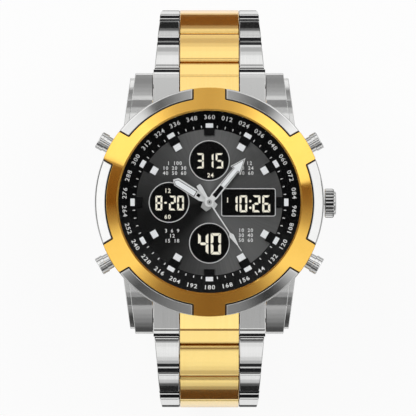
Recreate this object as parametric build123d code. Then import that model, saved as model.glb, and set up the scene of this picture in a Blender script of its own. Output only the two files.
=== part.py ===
from build123d import *
import math
import os

# Wristwatch with hands and small displays, on a folding two-tone bracelet.
# Millimetres. The origin is the centre of the case back's outer face, Z runs out
# through the crystal, Y towards 12 o'clock and X towards 3 o'clock.

# Fits and overruns
running_fit = 0.05
side_fit = 0.08
seat_gap = 0.12
overrun = 1.0

# Case middle
case_radius = 22.3
case_wall = 3.7
case_floor_z = 0.9
case_floor_thickness = 1.3
case_top_z = 8.7
case_foot_inset = 1.9
case_foot_rise = 2.4
control_axis_share = 0.294

# Lugs
lug_inner_share = 0.509
lug_width = 3.95
lug_step_width = 1.4
lug_reach = 4.0
lug_root_y = 12.0
lug_crease_inset = 5.2
lug_crease_drop = 0.5
lug_tip_z = 4.2
lug_under_z = 0.6
lug_tip_chamfer = 0.7
lug_step_drop = 1.3
lug_step_short = 1.0

# Bezel, tabs and inserts
bezel_overhang = 0.7
bezel_cover = 0.3
bezel_lip_width = 0.45
bezel_height = 3.5
bezel_lip_drop = 0.25
bezel_fall = 1.45
tab_width = 6.3
insert_count = 6
pocket_width = 2.3
pocket_floor_height = 1.0
insert_gap = 0.22
insert_proud = 0.06

# Crystal and dial side
crystal_thickness = 1.6
crystal_proud = 0.05
crystal_fit = 0.04
dial_thickness = 0.5
dial_sink = 0.7
dial_fit = 0.3
dial_hole_radius = 1.0
ring_width = 3.6
marker_count = 12
marker_inset = 1.25
marker_reach = 1.5
marker_width = 1.6
marker_height = 0.7
window_radius_share = 0.255
window_gap_up = 1.3
window_gap_left = 1.6
window_gap_down = 1.5
wide_window_from_x = 2.7
wide_window_gap = 0.45
wide_window_height_share = 0.34
frame_width = 0.35
frame_height = 0.22

# Movement stack
holder_fit = 0.2
holder_wall = 3.4
holder_slot_width = 3.2
module_thickness = 1.0
module_fit = 0.1
lcd_thickness = 1.2
lcd_gap = 0.2
lcd_border = 0.6
movement_length_share = 0.46
movement_width_share = 0.408
movement_floor_gap = 0.4
boss_width = 3.0
module_hole_width = 3.6
cell_edge_gap = 0.9
cell_floor_gap = 1.3
cell_gap = 0.2

# Hands
second_arbor_radius = 0.25
minute_pipe_radius = 0.55
hour_pipe_radius = 0.85
hand_thickness = 0.22
hand_dial_gap = 0.5
hand_spacing = 0.45
hour_hand_short = 6.1
hour_hand_width = 1.7
hour_hand_tail = 1.7
minute_hand_short = 3.2
minute_hand_width = 1.2
minute_head_width = 2.6
minute_head_length = 3.2
minute_hand_tail = 1.7
second_hand_short = 2.9
second_hand_width = 0.3
second_tail_length = 4.1
second_tail_width = 1.0
second_diamond_width = 0.9
second_diamond_length = 1.6
hub_radius = 1.15
pipe_foot_height = 0.3
hour_hand_angle = 302.0
minute_hand_angle = 39.3
second_hand_angle = 146.7

# Crown and stem
crown_radius = 2.95
crown_flute_depth = 0.25
crown_teeth = 24
crown_case_gap = 0.9
crown_length = 1.9
crown_cap_inset = 0.6
crown_cap_length = 0.4
stem_radius = 0.45
stem_depth = 2.4
stem_groove_depth = 0.15
lever_gap = 1.2
lever_thickness = 0.4
lever_width = 3.0
lever_leg = 0.7

# Pushers
pusher_clock_angles = [60.0, 120.0, 240.0, 300.0]
pusher_cap_radius = 1.875
pusher_cap_length = 1.25
pusher_reach = 3.1
pusher_collar_inset = 0.425
pusher_collar_length = 1.0
pusher_stem_radius = 0.8
pusher_clip_setback = 1.1
pusher_clip_rim = 0.35
pusher_clip_length = 0.35
pusher_travel = 0.8
contact_thickness = 0.2
contact_width = 2.4
contact_height_share = 0.65
contact_foot = 1.4
contact_gap = 0.1

# Bracelet links
link_count = 6
link_pitch = 10.0
link_thickness = 2.6
link_end_gap = 0.25
centre_half_width = 6.05
band_side_gap = 0.25
band_taper_shares = [1, 0.69, 0.45, 0.26, 0.14, 0.07, 0]
link_corner_cut = 0.6
pin_radius = 0.5
pin_beyond_lug = 0.7
pin_below_lug = 0.2
link_slope_angles = [50.0, 62.0, 82.0, 106.0, 132.0, 158.0]

# End links and spring bars
end_link_drop = 1.2
end_link_crease_inset = 0.7
end_link_under_rise = 1.3
end_link_root_inset = 4.8
spring_bar_inset = 2.7
spring_bar_below_lug = 0.6
spring_bar_radius = 0.75
spring_bar_tip_length = 1.0
bar_groove_clearance = 0.06
bar_web = 0.6

# Folding clasp
clasp_side_width = 2.95
cover_wall = 1.1
cover_floor_gap = 0.3
cover_floor_thickness = 0.9
cover_wall_rise = 0.9
cover_cheek_reach = 0.6
fold_hinge_inset = 3.5
fold_barrel_radius = 0.8
fold_pin_radius = 0.4
fold_ear_width = 1.8
fold_ear_gap = 0.85
fold_clearance = 0.15
middle_blade_gap = 0.4
blade_thickness = 0.8
rail_thickness = 1.0
rail_rise = 1.3
rail_drop = 0.5
inner_roof_thickness = 0.6
inner_roof_from_share = 0.8
inner_roof_to_share = 0.45
floor_end_clearance = 1.3
button_length = 5.0
button_height = 1.4
button_y = 2.0
button_reach = 0.95
button_travel = 0.7
button_fit = 0.06

# Heights that follow, from the case floor up to the crystal
case_floor_top_z = case_floor_z + case_floor_thickness
dial_bottom_z = case_top_z - dial_sink
dial_top_z = dial_bottom_z + dial_thickness
module_z = dial_bottom_z - lcd_gap - lcd_thickness - module_thickness
inner_height = module_z - case_floor_top_z
movement_bottom_z = case_floor_top_z + movement_floor_gap
control_axis_z = module_z - control_axis_share * inner_height
cell_thickness = inner_height - cell_floor_gap
contact_height = contact_height_share * inner_height
pocket_floor_z = case_top_z + pocket_floor_height
bezel_top_z = case_top_z + bezel_height
bezel_rim_z = bezel_top_z - bezel_fall
crystal_top_z = bezel_top_z + crystal_proud
crystal_bottom_z = crystal_top_z - crystal_thickness
hour_hand_z = dial_top_z + hand_dial_gap
minute_hand_z = hour_hand_z + hand_spacing
second_hand_z = minute_hand_z + hand_spacing
pipe_foot_z = module_z + pipe_foot_height

# Radii and reaches that follow, from the case's own radius
case_bore_radius = case_radius - case_wall
case_foot_radius = case_radius - case_foot_inset
bezel_radius = case_radius + bezel_overhang
bezel_bore_radius = case_bore_radius - bezel_cover
pocket_inner_radius = bezel_radius - pocket_width
ring_inner_radius = bezel_bore_radius - ring_width
marker_inner_radius = ring_inner_radius - marker_inset
marker_outer_radius = ring_inner_radius + marker_reach
window_radius = window_radius_share * ring_inner_radius
wide_window_height = wide_window_height_share * ring_inner_radius
window_room = marker_inner_radius - window_radius
wide_window_to_x = marker_inner_radius - wide_window_gap
holder_opening_width = 2 * (case_bore_radius - holder_wall)
movement_length = movement_length_share * holder_opening_width
movement_width = movement_width_share * holder_opening_width
cell_room = (holder_opening_width - movement_width) / 2 - cell_gap - cell_edge_gap
cell_radius = cell_room / 2
hour_hand_length = ring_inner_radius - hour_hand_short
minute_hand_length = ring_inner_radius - minute_hand_short
second_hand_length = ring_inner_radius - second_hand_short
crown_root_radius = crown_radius - crown_flute_depth
crown_cap_radius = crown_radius - crown_cap_inset
crown_inner_x = case_radius + crown_case_gap
stem_inner_x = movement_length / 2 - stem_depth
stem_groove_radius = stem_radius - stem_groove_depth
lever_x = movement_length / 2 + lever_gap
pusher_end_radius = case_radius + pusher_reach
pusher_collar_radius = pusher_cap_radius - pusher_collar_inset
pusher_clip_width = 2 * (pusher_stem_radius + pusher_clip_rim)
pusher_stem_inner = case_bore_radius - pusher_clip_setback

# Lug, end link and bracelet places that follow
lug_tip_y = case_radius + lug_reach
lug_crease_y = lug_tip_y - lug_crease_inset
lug_inner_x = lug_inner_share * case_radius
lug_step_x = lug_inner_x + lug_width
lug_outer_x = lug_step_x + lug_step_width
end_link_top_z = case_top_z - end_link_drop
end_link_bottom_z = lug_under_z + end_link_under_rise
end_link_crease_y = lug_tip_y - end_link_crease_inset
end_link_root_y = case_radius - end_link_root_inset
spring_bar_y = lug_tip_y - spring_bar_inset
spring_bar_z = lug_tip_z - spring_bar_below_lug
first_pin_y = lug_tip_y + pin_beyond_lug
first_pin_z = lug_tip_z - pin_below_lug
half_thickness = link_thickness / 2
link_end_setback = half_thickness + link_end_gap
pin_flat_radius = pin_radius * math.cos(math.pi / 8)
pin_bore_radius = pin_radius + running_fit
centre_knuckle_half_width = centre_half_width - side_fit
clasp_half_width = centre_half_width + clasp_side_width
band_taper = lug_inner_x - band_side_gap - clasp_half_width
band_half_widths = [clasp_half_width + band_taper * share for share in band_taper_shares]
rail_inner_x = centre_half_width + fold_clearance
middle_blade_half_width = rail_inner_x - middle_blade_gap
fold_ear_outer_x = rail_inner_x - fold_ear_gap
fold_barrel_half_width = fold_ear_outer_x - fold_ear_width - fold_clearance
cover_floor_drop = half_thickness + cover_floor_gap + cover_floor_thickness


def pin_points():
    """Give the bracelet's pin centres in (y, z) on the 12 o'clock side, down to the clasp."""
    y = first_pin_y
    z = first_pin_z
    points = [(y, z)]
    for slope in link_slope_angles:
        y = y + link_pitch * math.cos(math.radians(slope))
        z = z - link_pitch * math.sin(math.radians(slope))
        points.append((y, z))
    return points


pins = pin_points()
clasp_pin_y, clasp_pin_z = pins[-1]
fold_hinge_y = clasp_pin_y - fold_hinge_inset
cover_bottom_z = clasp_pin_z - cover_floor_drop
cover_floor_top_z = cover_bottom_z + cover_floor_thickness


def save(node, solids):
    """Write the solids of one sub-part to its own file."""
    shape = solids[0] if len(solids) == 1 else Compound(children=solids)
    export_step(shape, f"parts/{node}.step")


def solids_of(shape):
    """Give every solid of a shape as its own part."""
    return [Part(solid.wrapped) for solid in shape.solids()]


def prism_x(outline, x_from, x_to):
    """Extrude an outline of (y, z) points from one place on X to another."""
    face = Plane.YZ.offset(x_from) * Polygon(*outline, align=None)
    return extrude(face, amount=x_to - x_from, dir=(1, 0, 0))


def prism_z(outline, z_from, z_to):
    """Extrude an outline of (x, y) points from one height to another."""
    face = Plane.XY.offset(z_from) * Polygon(*outline, align=None)
    return extrude(face, amount=z_to - z_from, dir=(0, 0, 1))


def turned(outline):
    """Revolve an outline of (radius, z) points about the watch's centre line."""
    face = Plane.XZ * Polygon(*outline, align=None)
    return revolve(face, axis=Axis.Z)


def disc(radius, z_from, z_to):
    """Make a round plate or peg about the centre line."""
    return Pos(0, 0, z_from) * extrude(Circle(radius), amount=z_to - z_from)


def rod_x(radius, x_from, x_to, y=0, z=0):
    """Make a round bar along X."""
    face = Plane.YZ.offset(x_from) * Pos(y, z) * Circle(radius)
    return extrude(face, amount=x_to - x_from, dir=(1, 0, 0))


def octagon(width):
    """Give the corners of an octagon with flats a width apart."""
    corner = width / 2 / math.cos(math.pi / 8)
    angles = [math.pi / 8 + math.pi / 4 * index for index in range(8)]
    return [(corner * math.cos(angle), corner * math.sin(angle)) for angle in angles]


def eight_sided_x(flat_radius, x_from, x_to, y, z):
    """Make an eight-sided bar or bore along X, its flats a radius from its centre."""
    return Pos(0, y, z) * prism_x(octagon(2 * flat_radius), x_from, x_to)


def block(x_from, x_to, y_from, y_to, z_from, z_to):
    """Make a box between two corners."""
    centre = Pos((x_from + x_to) / 2, (y_from + y_to) / 2, (z_from + z_to) / 2)
    return centre * Box(x_to - x_from, y_to - y_from, z_to - z_from)


def at_clock(shape, degrees):
    """Turn a shape made along +Y to an angle read clockwise from 12 o'clock."""
    return Rot(0, 0, -degrees) * shape


def on_radius(shape, degrees):
    """Turn a shape made along +X to an angle read clockwise from 12 o'clock."""
    return Rot(0, 0, 90 - degrees) * shape


def lug_outline(drop, tip_y):
    """Give a lug's side outline in (y, z), lowered by a drop and ending at a tip."""
    top_z = case_top_z - drop
    return [
        (lug_root_y, top_z),
        (lug_crease_y, top_z - lug_crease_drop),
        (tip_y - lug_tip_chamfer, lug_tip_z),
        (tip_y, lug_tip_z - lug_tip_chamfer),
        (tip_y - lug_tip_chamfer / 2, lug_under_z + lug_tip_chamfer),
        (tip_y - 2 * lug_tip_chamfer, lug_under_z),
        (lug_root_y, case_floor_z),
    ]


def make_lugs():
    """Make the four lugs, each a main block with a lower step on its outer side."""
    main = prism_x(lug_outline(0, lug_tip_y), lug_inner_x, lug_step_x)
    step = prism_x(
        lug_outline(lug_step_drop, lug_tip_y - lug_step_short), lug_step_x, lug_outer_x
    )
    lug = main + step
    tip_hole = eight_sided_x(
        spring_bar_radius + running_fit,
        lug_inner_x - overrun,
        lug_inner_x + spring_bar_tip_length + seat_gap,
        spring_bar_y,
        spring_bar_z,
    )
    lug = lug - tip_hole
    pair = lug + mirror(lug, about=Plane.YZ)
    return pair + mirror(pair, about=Plane.XZ)


def make_mid_case():
    """Make the case middle with its bores and lugs."""
    shell = turned(
        [
            (0, case_floor_z),
            (case_foot_radius, case_floor_z),
            (case_radius, case_floor_z + case_foot_rise),
            (case_radius, case_top_z),
            (0, case_top_z),
        ]
    )
    body = shell + make_lugs()
    body = body - disc(case_bore_radius, -overrun, case_top_z + overrun)
    bore = rod_x(
        pusher_stem_radius + running_fit, case_bore_radius - overrun, case_radius + overrun, 0, control_axis_z
    )
    for angle in pusher_clock_angles:
        body = body - on_radius(bore, angle)
    stem_bore = rod_x(
        stem_radius + running_fit, case_bore_radius - overrun, case_radius + overrun, 0, control_axis_z
    )
    return body - stem_bore


def make_case_back():
    """Make the back, a plate pressed into the case's bore from below."""
    return disc(case_bore_radius - running_fit, 0, case_floor_top_z)


def bezel_slope_z(radius):
    """Give the height of the bezel's sloping face at a radius."""
    inner = bezel_bore_radius + bezel_lip_width
    share = (radius - inner) / (bezel_radius - inner)
    return bezel_top_z + (bezel_rim_z - bezel_top_z) * share


def tab_boxes(width, z_from, z_to):
    """Make the radial boxes that mark the bezel's tabs."""
    reach = bezel_radius + overrun
    boxes = []
    for index in range(insert_count):
        box = block(-width / 2, width / 2, pocket_inner_radius - overrun, reach, z_from, z_to)
        boxes.append(at_clock(box, 360 / insert_count * index))
    return boxes


def make_bezel():
    """Make the gold bezel with its six tabs and the pockets between them."""
    ring = turned(
        [
            (bezel_bore_radius, case_top_z),
            (bezel_radius, case_top_z),
            (bezel_radius, bezel_rim_z),
            (bezel_bore_radius + bezel_lip_width, bezel_top_z),
            (bezel_bore_radius, bezel_top_z - bezel_lip_drop),
        ]
    )
    pocket = turned(
        [
            (pocket_inner_radius, pocket_floor_z),
            (bezel_radius + overrun, pocket_floor_z),
            (bezel_radius + overrun, bezel_top_z + overrun),
            (pocket_inner_radius, bezel_top_z + overrun),
        ]
    )
    for box in tab_boxes(tab_width, case_top_z, bezel_top_z + 2 * overrun):
        pocket = pocket - box
    return ring - pocket


def make_bezel_inserts():
    """Make the six polished inserts that fill the bezel's pockets."""
    inner = pocket_inner_radius + insert_gap
    ring = turned(
        [
            (inner, pocket_floor_z),
            (bezel_radius, pocket_floor_z),
            (bezel_radius, bezel_rim_z + insert_proud),
            (inner, bezel_slope_z(inner) + insert_proud),
        ]
    )
    for box in tab_boxes(tab_width + 2 * insert_gap, case_top_z, bezel_top_z + overrun):
        ring = ring - box
    return solids_of(ring)


def make_crystal():
    """Make the flat glass."""
    return disc(bezel_bore_radius - crystal_fit, crystal_bottom_z, crystal_top_z)


def marker_box(inner, outer, width, z_from, z_to, index):
    """Make the box of one hour marker, at its place round the dial."""
    return at_clock(block(-width / 2, width / 2, inner, outer, z_from, z_to), 360 / marker_count * index)


def make_chapter_ring():
    """Make the slanted ring round the dial, notched for the hour markers."""
    ring = turned(
        [
            (ring_inner_radius, dial_top_z),
            (bezel_bore_radius, dial_top_z),
            (bezel_bore_radius, crystal_bottom_z),
        ]
    )
    for index in range(marker_count):
        ring = ring - marker_box(
            marker_inner_radius,
            marker_outer_radius,
            marker_width,
            dial_top_z - overrun,
            crystal_bottom_z + overrun,
            index,
        )
    return ring


def make_hour_markers():
    """Make the twelve applied hour markers."""
    return [
        marker_box(
            marker_inner_radius,
            marker_outer_radius,
            marker_width,
            dial_top_z,
            dial_top_z + marker_height,
            index,
        )
        for index in range(marker_count)
    ]


def round_window_places():
    """Give the centres of the three round display windows in (x, y)."""
    return [
        (0, window_room - window_gap_up),
        (window_gap_left - window_room, 0),
        (0, window_gap_down - window_room),
    ]


def make_dial():
    """Make the dial plate with its hand hole and display windows."""
    plate = disc(case_bore_radius - dial_fit, dial_bottom_z, dial_top_z)
    hand_hole = prism_z(octagon(2 * dial_hole_radius), dial_bottom_z - overrun, dial_top_z + overrun)
    plate = plate - hand_hole
    for x, y in round_window_places():
        plate = plate - Pos(x, y, 0) * disc(window_radius, dial_bottom_z - overrun, dial_top_z + overrun)
    return plate - block(
        wide_window_from_x,
        wide_window_to_x,
        -wide_window_height / 2,
        wide_window_height / 2,
        dial_bottom_z - overrun,
        dial_top_z + overrun,
    )


def make_window_frames():
    """Make the bevelled frames round the display windows."""
    round_frame = turned(
        [
            (window_radius, dial_top_z),
            (window_radius + frame_width, dial_top_z),
            (window_radius + frame_width / 2, dial_top_z + frame_height),
        ]
    )
    frames = [Pos(x, y, 0) * round_frame for x, y in round_window_places()]
    half_height = wide_window_height / 2
    outer = block(
        wide_window_from_x - frame_width,
        wide_window_to_x + frame_width,
        -half_height - frame_width,
        half_height + frame_width,
        dial_top_z,
        dial_top_z + frame_height,
    )
    inner = block(
        wide_window_from_x,
        wide_window_to_x,
        -half_height,
        half_height,
        dial_top_z - overrun,
        dial_top_z + overrun,
    )
    return frames + [outer - inner]


def make_lcd_panel():
    """Make the four display glasses, one under each window."""
    z_from = module_z + module_thickness
    z_to = z_from + lcd_thickness
    reach = window_radius + lcd_border
    glasses = []
    for x, y in round_window_places():
        glasses.append(block(x - reach, x + reach, y - reach, y + reach, z_from, z_to))
    half_height = wide_window_height / 2 + lcd_border
    wide_from = wide_window_from_x - lcd_border
    wide_to = wide_window_to_x + lcd_border
    glasses.append(block(wide_from, wide_to, -half_height, half_height, z_from, z_to))
    return glasses


def make_movement_holder():
    """Make the moulded ring that centres the module and carries the dial."""
    ring = disc(case_bore_radius - holder_fit, case_floor_top_z, dial_bottom_z)
    ring = ring - prism_z(octagon(holder_opening_width), case_floor_top_z - overrun, dial_bottom_z + overrun)
    slot = block(
        holder_opening_width / 2 - overrun,
        case_bore_radius + overrun,
        -holder_slot_width / 2,
        holder_slot_width / 2,
        case_floor_top_z - overrun,
        control_axis_z + holder_slot_width / 2,
    )
    for angle in pusher_clock_angles + [90]:
        ring = ring - on_radius(slot, angle)
    return ring


def make_digital_module():
    """Make the display module's board, with a hole for the hand pipes."""
    board = prism_z(
        octagon(holder_opening_width - 2 * module_fit), module_z, module_z + module_thickness
    )
    half = module_hole_width / 2
    return board - block(-half, half, -half, half, module_z - overrun, module_z + module_thickness + overrun)


def make_analog_movement():
    """Make the hand movement's block, with its boss and the stem's bore."""
    half_length = movement_length / 2
    half_width = movement_width / 2
    body = block(-half_length, half_length, -half_width, half_width, movement_bottom_z, module_z)
    body = body + prism_z(octagon(boss_width), module_z, dial_bottom_z)
    body = body - disc(hour_pipe_radius + running_fit, pipe_foot_z - running_fit, dial_bottom_z + overrun)
    stem_bore = rod_x(
        stem_radius + running_fit,
        stem_inner_x - running_fit,
        half_length + overrun,
        0,
        control_axis_z,
    )
    return body - stem_bore


def make_coin_cells():
    """Make the two button cells, above and below the hand movement."""
    offset = movement_width / 2 + cell_gap + cell_radius
    cell = disc(cell_radius, module_z - cell_thickness, module_z)
    return [Pos(0, offset, 0) * cell, Pos(0, -offset, 0) * cell]


def make_spring_bars():
    """Make the two spring bars that hold the end links between the lugs."""
    reach = lug_inner_x + spring_bar_tip_length
    bar = rod_x(spring_bar_radius, -reach, reach, spring_bar_y, spring_bar_z)
    return [bar, mirror(bar, about=Plane.XZ)]


def first_slope_directions():
    """Give the unit vectors along and out of the first bracelet link, in (y, z)."""
    angle = math.radians(link_slope_angles[0])
    return (math.cos(angle), -math.sin(angle)), (math.sin(angle), math.cos(angle))


def knuckle_end(s, facing):
    """Give the half octagon of a link's end about a pin in (s, n), from its upper to its lower face."""
    corner = half_thickness * math.tan(math.pi / 8)
    return [
        (s + facing * corner, half_thickness),
        (s + facing * half_thickness, corner),
        (s + facing * half_thickness, -corner),
        (s + facing * corner, -half_thickness),
    ]


def end_link_outline(end_points):
    """Give an end link's side outline in (y, z), its outer end given in (s, n) from the first pin."""
    pin_y, pin_z = pins[0]
    along, out = first_slope_directions()
    end = [
        (pin_y + s * along[0] + n * out[0], pin_z + s * along[1] + n * out[1]) for s, n in end_points
    ]
    groove_half = spring_bar_radius + bar_groove_clearance
    groove_top = spring_bar_z + groove_half
    rear = [
        (spring_bar_y + groove_half + bar_web, end_link_bottom_z),
        (spring_bar_y + groove_half, end_link_bottom_z),
        (spring_bar_y + groove_half, groove_top),
        (spring_bar_y - groove_half, groove_top),
        (spring_bar_y - groove_half, end_link_bottom_z),
        (end_link_root_y, end_link_bottom_z),
    ]
    return [(end_link_root_y, end_link_top_z), (end_link_crease_y, end_link_top_z)] + end + rear


def case_shadow():
    """Make the round body that the end links' rear faces clear."""
    return disc(case_radius + seat_gap, case_floor_z - overrun, bezel_top_z)


def make_end_link_pair():
    """Make the two steel sides of the 12 o'clock end link."""
    square_end = [(-link_end_setback, half_thickness), (-link_end_setback, -half_thickness)]
    side = prism_x(end_link_outline(square_end), centre_half_width, lug_inner_x - seat_gap)
    side = side - case_shadow()
    return [side, mirror(side, about=Plane.YZ)]


def make_end_link_centre():
    """Make the gold centre of the 12 o'clock end link, with the knuckle for the first pin."""
    pin_y, pin_z = pins[0]
    body = prism_x(end_link_outline(knuckle_end(0, 1)), -centre_half_width, centre_half_width)
    relief = block(
        centre_knuckle_half_width,
        centre_half_width + overrun,
        pin_y - link_end_setback,
        pin_y + link_thickness,
        pin_z - link_thickness,
        pin_z + link_thickness,
    )
    body = body - relief - mirror(relief, about=Plane.YZ)
    body = body - case_shadow()
    return body - eight_sided_x(
        pin_bore_radius, -centre_half_width - overrun, centre_half_width + overrun, pin_y, pin_z
    )


def make_link_sides(index):
    """Make the two steel sides of a link in its own frame, joined by the pin they are riveted to."""
    s_end = link_pitch - link_end_setback
    near = band_half_widths[index]
    far = band_half_widths[index + 1]
    outline = [(s_end, -half_thickness), (s_end, half_thickness)] + knuckle_end(0, -1)
    side = prism_x(outline, centre_half_width, near)
    plan = prism_z(
        [
            (centre_half_width, -link_thickness),
            (near, -link_thickness),
            (near, -half_thickness),
            (far, s_end),
            (centre_half_width + link_corner_cut, s_end),
            (centre_half_width, s_end - link_corner_cut),
        ],
        -link_thickness,
        link_thickness,
    )
    side = side & plan
    pin = eight_sided_x(pin_flat_radius, -centre_half_width, centre_half_width, 0, 0)
    return side + pin + mirror(side, about=Plane.YZ)


def make_link_centre():
    """Make a link's gold centre in its own frame, with the knuckle for the next pin."""
    near_end = [(link_end_setback, -half_thickness), (link_end_setback, half_thickness)]
    body = prism_x(near_end + knuckle_end(link_pitch, 1), -centre_half_width, centre_half_width)
    relief = block(
        centre_knuckle_half_width,
        centre_half_width + overrun,
        link_pitch - link_end_setback,
        link_pitch + link_thickness,
        -link_thickness,
        link_thickness,
    )
    body = body - relief - mirror(relief, about=Plane.YZ)
    return body - eight_sided_x(
        pin_bore_radius, -centre_half_width - overrun, centre_half_width + overrun, link_pitch, 0
    )


def place_link(shape, index):
    """Move a link from its own frame to its place on the 12 o'clock side."""
    y, z = pins[index]
    return Pos(0, y, z) * Rot(-link_slope_angles[index], 0, 0) * shape


def make_clasp_bar():
    """Make the bar in the last 12 o'clock link that the clasp's inner blade meets."""
    reach = rail_inner_x + rail_thickness
    return rod_x(pin_bore_radius, -reach, reach, clasp_pin_y, clasp_pin_z)


def make_clasp_cover():
    """Make the clasp's cover: a flat-bottomed channel with cheeks for the last link and ears for the fold."""
    floor = block(
        -clasp_half_width,
        clasp_half_width,
        -clasp_pin_y - cover_cheek_reach,
        fold_hinge_y - floor_end_clearance,
        cover_bottom_z,
        cover_floor_top_z,
    )
    tongue = block(
        -fold_ear_outer_x,
        fold_ear_outer_x,
        0,
        fold_hinge_y + fold_barrel_radius,
        cover_bottom_z,
        cover_floor_top_z,
    )
    wall = block(
        clasp_half_width - cover_wall,
        clasp_half_width,
        -clasp_pin_y,
        clasp_pin_y - cover_cheek_reach,
        cover_bottom_z,
        clasp_pin_z + cover_wall_rise,
    )
    cheek_inner = centre_half_width + side_fit
    cheek = block(
        cheek_inner,
        clasp_half_width,
        -clasp_pin_y - cover_cheek_reach,
        -clasp_pin_y + half_thickness,
        cover_bottom_z,
        clasp_pin_z,
    )
    cheek = cheek + eight_sided_x(
        half_thickness, cheek_inner, clasp_half_width, -clasp_pin_y, clasp_pin_z
    )
    ear_from = fold_barrel_half_width + fold_clearance
    ear = block(
        ear_from,
        fold_ear_outer_x,
        fold_hinge_y - fold_barrel_radius,
        fold_hinge_y + fold_barrel_radius,
        cover_bottom_z,
        clasp_pin_z,
    )
    ear = ear + eight_sided_x(
        fold_barrel_radius, ear_from, fold_ear_outer_x, fold_hinge_y, clasp_pin_z
    )
    sides = wall + cheek + ear
    button_hole = block(
        clasp_half_width - cover_wall - overrun,
        clasp_half_width + overrun,
        button_y - button_length / 2 - button_fit,
        button_y + button_length / 2 + button_fit,
        clasp_pin_z - button_height / 2 - button_fit,
        clasp_pin_z + button_height / 2 + button_fit,
    )
    sides = sides - button_hole
    cover = floor + tongue + sides + mirror(sides, about=Plane.YZ)
    last_pin = eight_sided_x(pin_flat_radius, -cheek_inner, cheek_inner, -clasp_pin_y, clasp_pin_z)
    fold_pin = rod_x(fold_pin_radius, -ear_from, ear_from, fold_hinge_y, clasp_pin_z)
    return cover + last_pin + fold_pin


def make_clasp_middle_blade():
    """Make the middle blade, a flat strip with a barrel at each end."""
    half_blade = blade_thickness / 2
    neck = fold_barrel_radius + fold_clearance + fold_clearance
    strip = block(
        -middle_blade_half_width,
        middle_blade_half_width,
        -fold_hinge_y + neck,
        fold_hinge_y - neck,
        clasp_pin_z - half_blade,
        clasp_pin_z + half_blade,
    )
    tongue = block(
        -fold_barrel_half_width,
        fold_barrel_half_width,
        -fold_hinge_y,
        fold_hinge_y,
        clasp_pin_z - half_blade,
        clasp_pin_z + half_blade,
    )
    blade = strip + tongue
    for y in (-fold_hinge_y, fold_hinge_y):
        blade = blade + eight_sided_x(
            fold_barrel_radius, -fold_barrel_half_width, fold_barrel_half_width, y, clasp_pin_z
        )
    for y in (-fold_hinge_y, fold_hinge_y):
        blade = blade - rod_x(
            fold_pin_radius + running_fit,
            -fold_barrel_half_width - overrun,
            fold_barrel_half_width + overrun,
            y,
            clasp_pin_z,
        )
    return blade


def make_clasp_inner_blade():
    """Make the inner blade: two rails under a roof, pinned to the middle blade at one end."""
    rail_outer_x = rail_inner_x + rail_thickness
    bar_edge_y = clasp_pin_y - pin_bore_radius - link_end_gap
    outline = [
        (-fold_hinge_y, clasp_pin_z - rail_drop),
        (bar_edge_y, clasp_pin_z - rail_drop),
        (bar_edge_y, clasp_pin_z + rail_drop),
        (fold_hinge_y, clasp_pin_z + rail_drop),
        (fold_hinge_y - rail_rise, clasp_pin_z + rail_rise),
        (-fold_hinge_y, clasp_pin_z + rail_rise),
    ]
    rail = prism_x(outline, rail_inner_x, rail_outer_x)
    ear = eight_sided_x(rail_rise, rail_inner_x, rail_outer_x, -fold_hinge_y, clasp_pin_z)
    rail = rail + ear
    roof = block(
        -rail_outer_x,
        rail_outer_x,
        -inner_roof_from_share * fold_hinge_y,
        inner_roof_to_share * fold_hinge_y,
        clasp_pin_z + rail_rise - inner_roof_thickness,
        clasp_pin_z + rail_rise,
    )
    blade = rail + mirror(rail, about=Plane.YZ) + roof
    return blade + rod_x(fold_pin_radius, -rail_inner_x, rail_inner_x, -fold_hinge_y, clasp_pin_z)


def make_clasp_button():
    """Make the right-hand release button of the clasp."""
    return block(
        rail_inner_x + rail_thickness + button_travel + fold_clearance,
        clasp_half_width + button_reach,
        button_y - button_length / 2,
        button_y + button_length / 2,
        clasp_pin_z - button_height / 2,
        clasp_pin_z + button_height / 2,
    )


def make_crown():
    """Make the fluted crown with its smaller end cap."""
    points = []
    for index in range(crown_teeth):
        for turn_share, radius in ((0.25, crown_radius), (0.75, crown_root_radius)):
            angle = 2 * math.pi * (index + turn_share) / crown_teeth
            points.append((radius * math.cos(angle), radius * math.sin(angle) + control_axis_z))
    body = prism_x(points, crown_inner_x, crown_inner_x + crown_length)
    cap_from = crown_inner_x + crown_length
    return body + rod_x(crown_cap_radius, cap_from, cap_from + crown_cap_length, 0, control_axis_z)


def make_stem():
    """Make the winding stem with the square neck that the setting lever sits round."""
    half_groove = lever_thickness / 2 + running_fit
    inner = rod_x(stem_radius, stem_inner_x, lever_x - half_groove, 0, control_axis_z)
    half_neck = stem_groove_radius / math.sqrt(2)
    groove = block(
        lever_x - half_groove,
        lever_x + half_groove,
        -half_neck,
        half_neck,
        control_axis_z - half_neck,
        control_axis_z + half_neck,
    )
    outer = rod_x(stem_radius, lever_x + half_groove, crown_inner_x, 0, control_axis_z)
    return inner + groove + outer


def make_setting_lever():
    """Make the setting lever's fork, which straddles the stem's groove."""
    half_slot = stem_groove_radius + running_fit
    half_lever = lever_thickness / 2
    plate = block(
        lever_x - half_lever,
        lever_x + half_lever,
        -lever_width / 2,
        lever_width / 2,
        control_axis_z - half_slot - lever_leg,
        module_z - running_fit,
    )
    return plate - block(
        lever_x - lever_thickness,
        lever_x + lever_thickness,
        -half_slot,
        half_slot,
        control_axis_z - half_slot - overrun,
        control_axis_z + half_slot,
    )


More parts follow.
